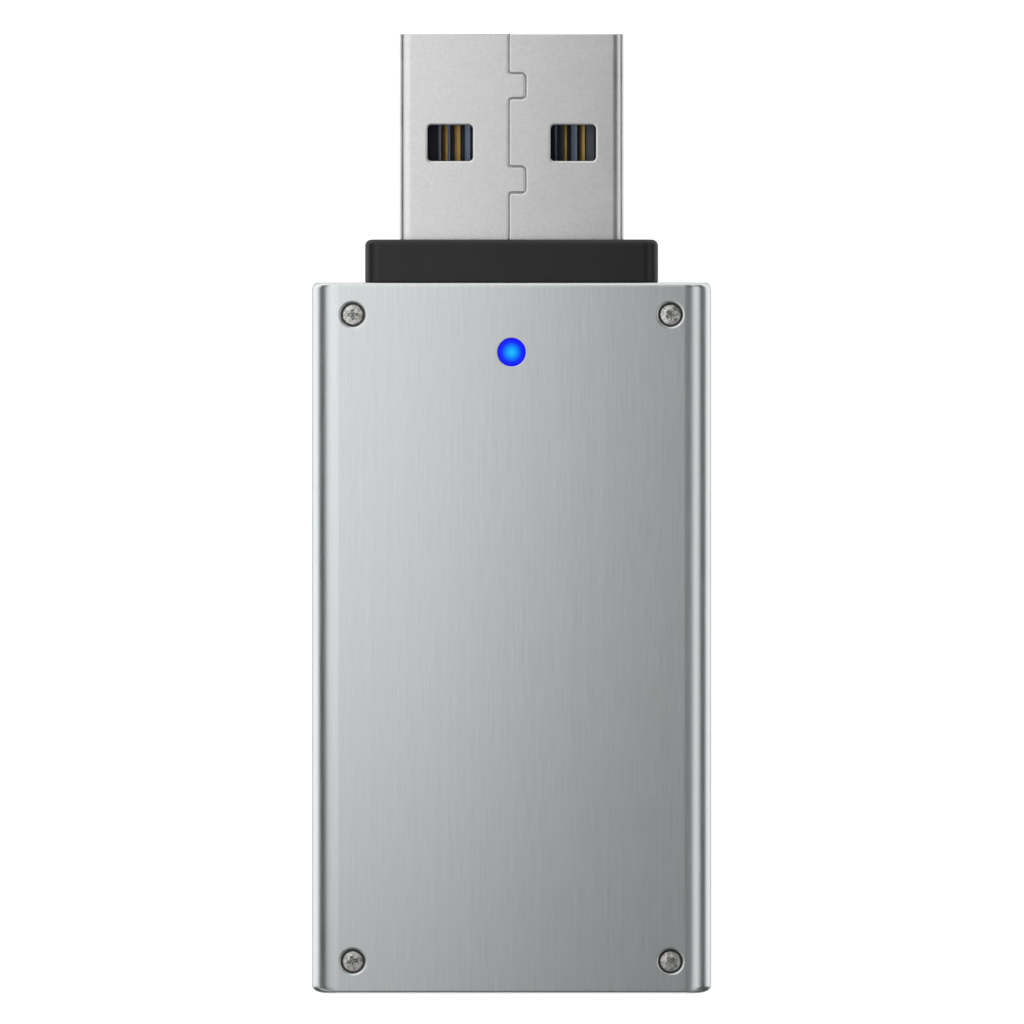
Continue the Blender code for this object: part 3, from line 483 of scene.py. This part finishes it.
def board_surface(name):
    """Solder mask over glass weave, with faint raised tracks under it."""
    look = Look(name, coat_weight=0.4, coat_roughness=0.15)
    weave = look.noise((0.25, 0.25, 0.25), detail=2.0)
    tracks = look.node("ShaderNodeTexBrick", offset=0.35)
    tracks.inputs["Scale"].default_value = 1.0
    tracks.inputs["Mortar Size"].default_value = 0.06
    tracks.inputs["Brick Width"].default_value = 2.6
    tracks.inputs["Row Height"].default_value = 0.42
    look.links.new(look.place((1.0, 1.0, 1.0)), tracks.inputs["Vector"])
    mask = look.mix(look.spread(weave, 0, 1), (0.006, 0.060, 0.022), (0.010, 0.085, 0.032))
    look.colour(look.mix(tracks.outputs["Fac"], mask, (0.020, 0.130, 0.050)))
    look.roughness(look.spread(weave, 0.32, 0.45))
    look.bump(tracks.outputs["Fac"], 0.012)
    return look.material


def ended_block(name, body, ends, axis, share):
    """A small component whose two ends are tinned: a share of its length at each end."""
    look = Look(name)
    coordinates = look.node("ShaderNodeTexCoord")
    split = look.node("ShaderNodeSeparateXYZ")
    look.links.new(coordinates.outputs["Generated"], split.inputs["Vector"])
    centred = look.math("ABSOLUTE", look.math("SUBTRACT", split.outputs[axis], 0.5))
    tinned = look.math("GREATER_THAN", centred, 0.5 - share)
    grain = look.noise((0.06, 0.06, 0.06), detail=3.0)
    ceramic = look.mix(look.spread(grain, 0, 1), tinted(body, 0.85), tinted(body, 1.12))
    look.colour(look.mix(tinned, ceramic, ends))
    look.roughness(look.spread(grain, 0.38, 0.52))
    look.bump(grain, 0.002)
    return look.material


# ---------------------------------------------------------------- the case
def case_section(inset_across, inset_height, upper):
    """Half of the case's cross-section, as (x, z), drawn in from its full size at the ends."""
    way = 1 if upper else -1
    seam = PARTING if upper else PARTING - GAP
    face = TOP if upper else BACK_LOW.z
    half = HALF_WIDTH - inset_across
    right = [
        (half - PARTING_BEVEL, seam),
        (half - 0.3 * PARTING_BEVEL, seam + way * 0.3 * PARTING_BEVEL),
        (half, seam + way * PARTING_BEVEL),
    ]
    corner_x = HALF_WIDTH - EDGE_RADIUS
    corner_z = face - way * EDGE_RADIUS
    for angle in arc(0.0, math.pi / 2, CORNER_STEPS):
        x = corner_x + (EDGE_RADIUS - inset_across) * math.cos(angle)
        z = corner_z + way * (EDGE_RADIUS - inset_height) * math.sin(angle)
        right.append((x, z))
    return right + [(-x, z) for x, z in reversed(right)]


def ellipse_fall(share):
    """How far a rounding has fallen, from 1 at its outer end to 0 where it meets the face."""
    return 1 - math.sqrt(1 - (1 - min(share, 1.0)) ** 2)


def case_half(name, upper):
    """Half of the case as a solid block, rounded at both ends."""
    rings = []
    for end, way, rounding in ((REAR, 1, REAR_ROUNDING), (FRONT, -1, FRONT_ROUNDING)):
        (across, along), (edge_along, height) = rounding
        depths = {along * (1 - math.cos(angle)) for angle in arc(0.0, math.pi / 2, END_STEPS)}
        depths |= {edge_along * (1 - math.cos(angle)) for angle in arc(0.0, math.pi / 2, END_STEPS)}
        steps = []
        for depth in sorted(depths):
            across_fall = across * ellipse_fall(depth / along) * MM
            height_fall = height * ellipse_fall(depth / edge_along) * MM
            y = end + way * depth * MM
            section = case_section(across_fall, height_fall, upper)
            steps.append([(x, y, z) for x, z in section])
        rings += steps if way > 0 else reversed(steps)
    return loft(name, rings)


def hollow(half, upper):
    """Cuts out a half's inside and its share of the opening for the collar's neck."""
    inside = HALF_WIDTH - WALL
    if upper:
        low, high = PARTING - WALL, TOP - WALL
    else:
        low, high = BACK_LOW.z + WALL, PARTING + WALL
    cavity = box_cutter("cavity", (-inside, REAR + WALL, low), (inside, FRONT - WALL, high))
    boolean(half, cavity)
    neck = rounded_rectangle(NECK[0] / 2 + GAP, NECK[1] / 2 + GAP, NECK_RADIUS)
    ends = (FRONT - 2 * WALL, FRONT + WALL)
    boolean(half, loft("neck_opening", [standing(neck, y, MIDDLE) for y in ends]))


def case_front(metal, dark):
    """The half with the screws' counterbores and the light's hole; the counterbores' sunk faces get a
    darker metal, painted shade.
    """
    cover = case_half("case_front", True)
    hollow(cover, True)
    for number, centre in SCREWS.items():
        outline = circle_outline(centre.x, centre.y, BORE_RADIUS)
        boolean(cover, flared_cutter(f"bore_{number}", outline, TOP, BORE_DEPTH, BORE_LIP))
        hole = circle_outline(centre.x, centre.y, SHANK_RADIUS + GAP, 32)(0.0)
        ends = (PARTING - WALL, TOP - BORE_DEPTH + GAP)
        boolean(cover, loft(f"hole_{number}", [[(x, y, z) for x, y in hole] for z in ends]))
    centre = (LIGHT_LOW + LIGHT_HIGH) / 2
    outline = circle_outline(centre.x, centre.y, LIGHT_RADIUS + 0.004 * MM)
    boolean(cover, flared_cutter("light_hole", outline, TOP, 2 * WALL, LIGHT_LIP))
    cover.data.materials.append(metal)
    cover.data.materials.append(dark)
    # Painted shade: the faces sunk in each counterbore take the darker second material.
    for face in cover.data.polygons:
        sunk = face.center.z < TOP - 0.8 * BORE_LIP[1]
        away = min(math.dist(face.center[:2], centre[:2]) for centre in SCREWS.values())
        if sunk and away < BORE_RADIUS + 0.01 * MM:
            face.material_index = 1
    grain_map(cover)
    smooth(cover)
    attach(cover, DRIVE)
    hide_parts("front_cover")


def case_back(metal):
    shell = case_half("case_back", False)
    hollow(shell, False)
    shell.data.materials.append(metal)
    grain_map(shell)
    smooth(shell)
    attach(shell, DRIVE)
    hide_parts("back_shell")


# ---------------------------------------------------------------- screws and light
def cross_outline(length, width, turn):
    """A cross with blunted inner corners, as points round it."""
    arm, half = length / 2, width / 2
    quarter = [
        (arm, -half),
        (arm, half),
        (1.5 * half, half),
        (1.13 * half, 1.13 * half),
        (half, 1.5 * half),
    ]
    points = []
    for step in range(4):
        angle = turn + step * math.pi / 2
        for x, y in quarter:
            points.append(
                (x * math.cos(angle) - y * math.sin(angle), x * math.sin(angle) + y * math.cos(angle))
            )
    return points


def screw_profile(low, top, radius, seat):
    """Half of a screw's section, from the shank's end over the head's rim to the crown."""
    shank = SHANK_RADIUS - 0.02 * MM
    profile = [(AXIS_RADIUS, low), (shank - 0.06 * MM, low), (shank, low + 0.1 * MM), (shank, seat)]
    profile += [(radius - 0.03 * MM, seat), (radius, seat + 0.04 * MM)]
    for angle in arc(0.0, math.pi / 2, 10):
        away = radius * (CROWN_SHARE + (1 - CROWN_SHARE) * math.cos(angle))
        profile.append((away, top - SCREW_CROWN - 0.12 * MM * (1 - math.sin(angle))))
    for share in (0.70, 0.60, 0.45, 0.30, 0.15, 0.02):
        profile.append((radius * share, top - SCREW_CROWN * (share / CROWN_SHARE) ** 2))
    return profile


def screw(number, centre, turn, metal, dark):
    """A domed screw with a tapering cross and a small pit; the recess's faces are painted darker, as
    shade.
    """
    low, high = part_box(f"screw_{number}")
    radius = (high.x - low.x) / 2
    top = high.z
    seat = TOP - BORE_DEPTH + GAP
    head = turned(f"screw_visual_{number}", screw_profile(low.z, top, radius, seat), centre, 72)
    length, width, depth = RECESS
    rings = []
    for share in (0.0, 0.2, 0.5, 0.8, 1.0):
        outline = cross_outline(length * (1 - 0.50 * share), width * (1 - 0.60 * share), turn)
        rings.append(lying(outline, centre.x, centre.y, top + 0.02 * MM - depth * share))
    boolean(head, loft(f"cross_{number}", rings))
    above = top + 0.03 * MM
    pit = [(AXIS_RADIUS, top - 0.22 * MM), (0.05 * MM, top - 0.20 * MM)]
    pit += [(0.15 * MM, above), (AXIS_RADIUS, above)]
    boolean(head, turned(f"pit_{number}", pit, centre, 24))
    head.data.materials.append(metal)
    head.data.materials.append(dark)
    # Painted shade: faces sunk in the cross and the pit take the darker second material.
    for face in head.data.polygons:
        away = math.dist(face.center[:2], centre[:2])
        crown_there = top - SCREW_CROWN * (away / (CROWN_SHARE * radius)) ** 2
        if away < radius * 0.7 and seat + 0.02 * MM < face.center.z < crown_there - 0.008 * MM:
            face.material_index = 1
    smooth(head, 32)
    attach(head, DRIVE)
    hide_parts(f"screw_{number}")


def light_window():
    """The light's domed window, held by a flange under the case's wall."""
    centre = (LIGHT_LOW + LIGHT_HIGH) / 2
    flange = (LIGHT_HIGH.x - LIGHT_LOW.x) / 2
    ceiling = TOP - WALL - GAP
    ledge = ceiling - LIGHT_FLANGE
    radius = LIGHT_RADIUS
    bevel = 0.05 * MM
    profile = [(AXIS_RADIUS, LIGHT_LOW.z), (radius - bevel, LIGHT_LOW.z)]
    profile += [(radius, LIGHT_LOW.z + bevel), (radius, ledge), (flange, ledge)]
    profile += [(flange, ceiling), (radius, ceiling)]
    for angle in arc(0.0, math.pi / 2, 16):
        fall = LIGHT_DOME * (1 - math.sin(angle))
        profile.append((radius * math.cos(angle) + 0.002 * MM, TOP - fall))
    window = turned("light_window", profile, centre, 72)
    window.data.materials.append(lit_window("blue_light", centre))
    smooth(window)
    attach(window, DRIVE)
    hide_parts("light_pipe")


# ---------------------------------------------------------------- collar and plug
def collar_passage():
    """The cutter for the plug's way through the collar, flared at the front."""

    def ring(grow, y):
        half_width = PLUG_HIGH.x + grow
        half_height = (PLUG_HIGH.z - PLUG_LOW.z) / 2 + grow
        across, rise = (size + grow for size in PLUG_EDGE)
        return standing(rounded_rectangle(half_width, half_height, across, rise=rise), y, MIDDLE)

    front = COLLAR_HIGH.y
    wide = GAP + COLLAR_FLARE
    rings = [ring(GAP, COLLAR_LOW.y - MM), ring(GAP, front - 0.08 * MM)]
    rings += [ring(wide, front + 0.01 * MM), ring(wide, front + MM)]
    return loft("passage", rings)


def collar(plastic):
    """The collar's body in front of the case, with its neck and flange inside it."""
    half_width = COLLAR_HIGH.x
    half_height = (COLLAR_HIGH.z - COLLAR_LOW.z) / 2
    centre_z = (COLLAR_HIGH.z + COLLAR_LOW.z) / 2

    def ring(inset, y):
        outline = rounded_rectangle(
            half_width - inset, half_height - inset, COLLAR_EDGE_RADIUS - inset
        )
        return standing(outline, y, centre_z)

    heel = FRONT + 0.01 * MM
    rings = [ring(COLLAR_HEEL, heel), ring(0.0, heel + COLLAR_HEEL)]
    for angle in arc(0.0, math.pi / 2, 8):
        inset = COLLAR_END_RADIUS * (1 - math.cos(angle))
        rings.append(ring(inset, COLLAR_HIGH.y - COLLAR_END_RADIUS * (1 - math.sin(angle))))
    body = loft("collar_body", rings)
    rear = COLLAR_LOW.y
    neck = rounded_rectangle(NECK[0] / 2, NECK[1] / 2, NECK_RADIUS)
    ends = (rear + 0.1 * MM, FRONT + 0.5 * MM)
    boolean(body, loft("neck", [standing(neck, y, centre_z) for y in ends]), "UNION")
    flange = rounded_rectangle(FLANGE[0] / 2, FLANGE[1] / 2, NECK_RADIUS)
    ends = (rear, rear + FLANGE[2])
    boolean(body, loft("flange", [standing(flange, y, centre_z) for y in ends]), "UNION")
    boolean(body, collar_passage())
    body.data.materials.append(plastic)
    smooth(body)
    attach(body, DRIVE)
    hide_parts("collar")


def seam_line():
    """The seam's middle line from the mouth to the rear, with a round turn at each corner."""
    corners = [(SEAM_X, MOUTH + MM)]
    for start, end in SEAM_TABS:
        corners += [(SEAM_X, MOUTH - start), (SEAM_TAB_X, MOUTH - start)]
        corners += [(SEAM_TAB_X, MOUTH - end), (SEAM_X, MOUTH - end)]
    corners.append((SEAM_X, MOUTH - PLUG_LENGTH - MM))
    points = [corners[0]]
    for before, corner, after in zip(corners, corners[1:], corners[2:]):
        corner, before, after = Vector(corner), Vector(before), Vector(after)
        into = (corner - before).normalized()
        out = (after - corner).normalized()
        for angle in arc(0.0, math.pi / 2, 6):
            swing = SEAM_CORNER * (1 - math.sin(angle))
            ahead = SEAM_CORNER * (1 - math.cos(angle))
            place = corner - into * swing + out * ahead
            points.append((place.x, place.y))
    points.append(corners[-1])
    return points


def seam_outline(grow):
    """Both sides of the seam's slot, as one outline."""
    half = SEAM_WIDTH / 2 + grow
    line = [Vector(point) for point in seam_line()]
    left, right = [], []
    for index, place in enumerate(line):
        before = line[max(index - 1, 0)]
        after = line[min(index + 1, len(line) - 1)]
        ahead = (after - before).normalized()
        side = Vector((-ahead.y, ahead.x)) * half
        left.append(tuple(place + side))
        right.append(tuple(place - side))
    return left + right[::-1]


def window_outline(x, y):
    """A latch window's outline, as flared_cutter takes it."""

    def outline(grow):
        shape = rounded_rectangle(
            WINDOW_SIZE[0] / 2 + grow, WINDOW_SIZE[1] / 2 + grow, WINDOW_RADIUS + grow, 6
        )
        return [(x + px, y + py) for px, py in shape]

    return outline


def plug_sheet(metal):
    """The plug's folded steel shell, with rounded sheet edges at the mouth and windows."""
    half_width = PLUG_HIGH.x
    half_height = (PLUG_HIGH.z - PLUG_LOW.z) / 2
    rear = MOUTH - PLUG_LENGTH

    def ring(inset, y):
        across, rise = (size - inset for size in PLUG_EDGE)
        outline = rounded_rectangle(half_width - inset, half_height - inset, across, 12, rise)
        return standing(outline, y, MIDDLE)

    rings = [ring(0.0, rear)]
    for angle in arc(0.0, math.pi / 2, 4):
        inset = MOUTH_ROUNDING * (1 - math.cos(angle))
        rings.append(ring(inset, MOUTH - MOUTH_ROUNDING * (1 - math.sin(angle))))
    for angle in arc(math.pi / 2, 0.0, 4):
        inset = PLUG_SHEET - MOUTH_ROUNDING * (1 - math.cos(angle))
        rings.append(ring(inset, MOUTH - MOUTH_ROUNDING * (1 - math.sin(angle))))
    rings.append(ring(PLUG_SHEET, rear))
    shell = loft("plug_sheet", rings, closed=True)
    window_y = MOUTH - WINDOW_START - WINDOW_SIZE[1] / 2
    for side in (-1, 1):
        outline = window_outline(side * WINDOW_SPACING / 2, window_y)
        for surface, up in ((PLUG_HIGH.z, 1), (PLUG_LOW.z, -1)):
            cutter = flared_cutter("window", outline, surface, 2 * PLUG_SHEET, WINDOW_LIP, up)
            boolean(shell, cutter)
    boolean(shell, flared_cutter("seam", seam_outline, PLUG_HIGH.z, SEAM_DEPTH, SEAM_LIP))
    for side in (-1, 1):
        outer, inner = side * half_width, side * (half_width - PLUG_SHEET)
        low = (min(outer, inner), PLUG_LOW.y, MIDDLE - 1.3 * MM)
        high = (max(outer, inner), rear + 0.02 * MM, MIDDLE + 1.0 * MM)
        boolean(shell, box_cutter("leg", low, high), "UNION")
    shell.data.materials.append(metal)
    smooth(shell)
    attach(shell, DRIVE)
    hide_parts("plug_shell")


# ---------------------------------------------------------------- contacts under the windows
def crowned_strip(name, place, ends, top, thickness):
    """A strip along Y whose top falls away to its left, so that it catches the light on its right.

    place is its middle, its width and its fall, in millimetres.
    """
    middle, width, fall = (size * MM for size in place)
    left, right = middle - width / 2, middle + width / 2
    section = [(left, top - thickness), (right, top - thickness)]
    for share in arc(0.0, 1.0, 8):
        section.append((right - width * share, top - fall * share**2))
    return loft(name, [[(x, y, z) for x, z in section] for y in ends])


def fork_contact(name, gold):
    """A pad whose middle stretch is split into two prongs."""
    pad = new_object(f"fork_{name}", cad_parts[name].data.copy())
    low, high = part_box(name)
    rear, front = (MOUTH - distance for distance in FORK)
    gap = ((low.x - MM, rear, PAD_CUT), (high.x + MM, front, high.z + MM))
    boolean(pad, box_cutter("gap", *gap))
    ends = (rear - FORK_OVERLAP, front + FORK_OVERLAP)
    for place in PRONGS[name]:
        boolean(pad, crowned_strip("prong", place, ends, PRONG_TOP, PRONG_THICKNESS), "UNION")
    pad.data.materials.clear()
    pad.data.materials.append(gold)
    smooth(pad)
    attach(pad, DRIVE)
    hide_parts(name)


def tongue_ribs(name, places, plastic):
    """The ribs moulded on the tongue, between and beside the prongs."""
    ends = [MOUTH - distance for distance in FORK]
    ribs, *others = [crowned_strip(name, place, ends, RIB_TOP, RIB_THICKNESS) for place in places]
    for rib in others:
        boolean(ribs, rib, "UNION")
    ribs.data.materials.append(plastic)
    smooth(ribs)
    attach(ribs, DRIVE)


# ---------------------------------------------------------------- surfaces of the kept CAD nodes
def dress(node, material):
    node.data.materials.clear()
    node.data.materials.append(material)


def tinned_pair(name, body, share):
    """One component's look twice: with its long side along X and along Y."""
    tin = (0.66, 0.65, 0.63)
    return [ended_block(f"{name}_{letter}", body, tin, axis, share) for axis, letter in enumerate("xy")]


def dress_inner_nodes(gold):
    """Materials for the pieces that keep their CAD shape."""
    navy = moulded_plastic("tongue_navy", (0.004, 0.009, 0.024), 0.40, specular_ior_level=0.3)
    epoxy = moulded_plastic("chip_epoxy", (0.020, 0.020, 0.022), 0.55, cell=0.05, relief=0.004)
    ferrite = moulded_plastic("ferrite", (0.060, 0.055, 0.052), 0.6, cell=0.07, relief=0.006)
    pad = moulded_plastic("thermal_pad", (0.22, 0.27, 0.33), 0.8, cell=0.3, relief=0.02)
    film = moulded_plastic("film_amber", (0.45, 0.20, 0.03), 0.25, cell=0.6, relief=0.003)
    lamp = moulded_plastic("lamp_body", (0.70, 0.68, 0.55), 0.4, cell=0.05, relief=0.002)
    can = beaded_metal("crystal_can", (0.72, 0.71, 0.69), 0.3, cell=0.08)
    looks = {
        "contact_": gold,
        "spring_": gold,
        "plug_insulator": navy,
        "plug_spacer": navy,
        "circuit_board": board_surface("board_green"),
        "controller_chip": epoxy,
        "flash_chip": epoxy,
        "voltage_regulator": epoxy,
        "surge_protector": epoxy,
        "power_inductor": ferrite,
        "clock_crystal": can,
        "light_chip": lamp,
        "thermal_pad": pad,
        "insulating_film": film,
    }
    tinned_looks = {
        "capacitor_": tinned_pair("ceramic", (0.36, 0.24, 0.13), 0.22),
        "resistor_": tinned_pair("film_chip", (0.02, 0.02, 0.022), 0.2),
    }
    for name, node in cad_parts.items():
        low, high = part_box(name)
        axis = 0 if high.x - low.x > high.y - low.y else 1
        for start, material in looks.items():
            if name.startswith(start):
                dress(node, material)
        for start, materials in tinned_looks.items():
            if name.startswith(start):
                dress(node, materials[axis])


# ---------------------------------------------------------------- studio
def glow(name, strength, fade=None):
    """A white light source.

    fade gives a lower strength and the shares of the card's height between which it rises.
    """
    material = bpy.data.materials.new(name)
    material.use_nodes = True
    nodes, links = material.node_tree.nodes, material.node_tree.links
    nodes.clear()
    emission = nodes.new("ShaderNodeEmission")
    emission.inputs["Strength"].default_value = strength
    output = nodes.new("ShaderNodeOutputMaterial")
    links.new(emission.outputs["Emission"], output.inputs["Surface"])
    if fade:
        coordinates = nodes.new("ShaderNodeTexCoord")
        split = nodes.new("ShaderNodeSeparateXYZ")
        links.new(coordinates.outputs["Generated"], split.inputs["Vector"])
        ramp = nodes.new("ShaderNodeMapRange")
        ramp.interpolation_type = "SMOOTHSTEP"
        dim, start, end = fade
        for socket, value in zip(ramp.inputs[1:5], (start, end, dim, strength)):
            socket.default_value = value
        links.new(split.outputs["Y"], ramp.inputs["Value"])
        links.new(ramp.outputs["Result"], emission.inputs["Strength"])
    return material


def matt_surface(name, brightness, albedo):
    """A surface without a sheen that also glows by its brightness, for the table and the flags."""
    material = bpy.data.materials.new(name)
    material.use_nodes = True
    shader = material.node_tree.nodes["Principled BSDF"]
    shader.inputs["Base Color"].default_value = (albedo, albedo, albedo, 1.0)
    shader.inputs["Roughness"].default_value = 1.0
    shader.inputs["Specular IOR Level"].default_value = 0.0
    shader.inputs["Emission Color"].default_value = (1.0, 1.0, 1.0, 1.0)
    shader.inputs["Emission Strength"].default_value = brightness
    return material


def card(name, centre, size, facing, material):
    """A flat rectangular panel centred at a place and facing along a direction."""
    width, height = size[0] / 2, size[1] / 2
    mesh = bpy.data.meshes.new(name)
    corners = [(-width, -height, 0), (width, -height, 0), (width, height, 0), (-width, height, 0)]
    mesh.from_pydata(corners, [], [(0, 1, 2, 3)])
    mesh.materials.append(material)
    panel = new_object(name, mesh)
    panel.location = centre
    panel.rotation_euler = Vector(facing).to_track_quat("Z", "Y").to_euler()
    return panel


def reflector(name, centre, size, facing, material):
    """A card in millimetres that the camera doesn't see, but that the object reflects.

    One below the table's top casts no light on the object's matt surfaces and no shadow.
    """
    panel = card(
        name, [place * MM for place in centre], [side * MM for side in size], facing, material
    )
    panel.visible_camera = False
    if centre[2] < 0:
        panel.visible_diffuse = False
        panel.visible_shadow = False
    return panel


def studio():
    scene = bpy.context.scene
    scene.view_settings.view_transform = "Standard"
    world = bpy.data.worlds.new("studio")
    world.use_nodes = True
    background = world.node_tree.nodes["Background"]
    background.inputs["Color"].default_value = (0.93, 0.97, 1.0, 1.0)
    background.inputs["Strength"].default_value = 0.09
    scene.world = world

    card("floor", (0, 0, -GAP), (4.0, 4.0), (0, 0, 1), matt_surface("floor", 0.9, 0.5))
    card("backdrop", (0, 1.9, 0.3), (4.0, 0.8), (0, -1, 0), glow("backdrop", 1.0))
    overhead_lights()
    side_cards()
    floor_cards()


def overhead_lights():
    """The key light, which fades towards the rear, and past its slanting edge a dimmer panel."""
    edge, ceiling, slant = 2.0, 80.4, math.radians(6)
    key = glow("key", 1.05, fade=(0.30, 0.122, 0.4905))
    for name, side, width, light in (("key", -1, 120.8, key), ("dim", 1, 50, glow("dim", 0.165))):
        centre = (edge + side * width / 2, 15, ceiling)
        panel = reflector(name, centre, (width, 190), (0, 0, -1), light)
        panel.rotation_euler.z -= slant
    flag = matt_surface("flag_plug", 0.0, 0.01)
    reflector("flag_plug", (36, 62, ceiling - 1), (36, 96), (0, 0, -1), flag)


def side_cards():
    """White cards round the object, and dark flags that draw the bands along its edges."""
    black = matt_surface("flag", 0.0, 0.01)
    grey = matt_surface("flag_rear", 0.12, 0.01)
    reflector("fill", (110, 0, 97), (120, 98), (-1, 0, 0), glow("fill", 0.97))
    reflector("back", (0, 110, 65), (240, 130), (0, -1, 0), glow("back", 0.95))
    reflector("flag_left", (-120, 0, 40), (180, 80), (1, 0, 0), black)
    reflector("flag_right", (109, 0, 24), (170, 48), (-1, 0, 0), black)
    reflector("flag_rear", (0, -110, 40), (170, 80), (0, 1, 0), grey)
    for side in (-1, 1):
        reflector("corner", (side * 100, -98, 55), (60, 110), (-side, 1, 0), glow("corner", 0.5))


def floor_cards():
    """Patches under the table's top that only the object's lowest roundings reflect."""
    shade = matt_surface("shade", 0.06, 0.01)
    black = matt_surface("dark_floor", 0.0, 0.01)
    for side in (-1, 1):
        reflector("dark_corner", (side * 30, -49, -0.02), (36, 42), (0, 0, 1), shade)
    reflector("dark_floor", (74.5, 0, -0.04), (65, 240), (0, 0, 1), black)
    # Painted shadow: a dimmer patch round the object, reflected by its lower roundings in place of the
    # floor's contact shadow.
    near = (2 * HALF_WIDTH / MM + 10, 2 * MOUTH / MM + 14)
    reflector("painted_floor_shade", (0, 0, -0.03), near, (0, 0, 1), glow("painted_floor_shade", 0.5))


def camera():
    """Straight above, far enough away that the object is seen almost without perspective."""
    distance = 1.0
    view_width = 54.80 * MM
    data = bpy.data.cameras.new("camera")
    data.sensor_width = 36.0
    data.lens = data.sensor_width * distance / view_width
    data.clip_start = 0.01
    data.clip_end = 20.0
    eye = bpy.data.objects.new("camera", data)
    bpy.context.scene.collection.objects.link(eye)
    eye.location = (0.022 * MM, 0.058 * MM, TOP + distance)
    bpy.context.scene.camera = eye


def build():
    aluminium = brushed_metal("brushed_aluminium", (0.78, 0.81, 0.815), 0.31)
    # Painted shade: a darker metal for the counterbores' walls, standing in for the shade in the gaps
    # round the screw heads.
    bore = beaded_metal("bore_painted_shade", (0.32, 0.32, 0.31), 0.5)
    steel = beaded_metal("plug_steel", (0.82, 0.825, 0.82), 0.33, contrast=1.5)
    case_front(aluminium, bore)
    case_back(aluminium)
    silver = screw_metal("screw_steel", (0.96, 0.955, 0.93), 0.42)
    # Painted shade: a darker steel for the screws' cross recesses.
    recess = screw_metal("screw_recess_painted_shade", (0.78, 0.77, 0.73), 0.5)
    for (number, centre), turn in zip(SCREWS.items(), SCREW_TURNS):
        screw(number, centre, math.radians(turn), silver, recess)
    light_window()
    collar(moulded_plastic("collar_black", (0.0095, 0.0095, 0.0095), 0.42))
    plug_sheet(steel)
    gold = plated_contact("contact_gold", (0.42, 0.28, 0.09), 0.40)
    for name in PRONGS:
        fork_contact(name, gold)
    # Painted light and shade: the ribs' plastic in a lit tone and in a shaded tone.
    tongue_ribs("lit_ribs", LIT_RIBS, moulded_plastic("rib_painted_lit", (0.28, 0.36, 0.51), 0.3))
    tongue_ribs("shaded_ribs", SHADED_RIBS, moulded_plastic("rib_painted_shade", (0.06, 0.08, 0.12), 0.3))
    dress_inner_nodes(gold)
    studio()
    camera()


build()
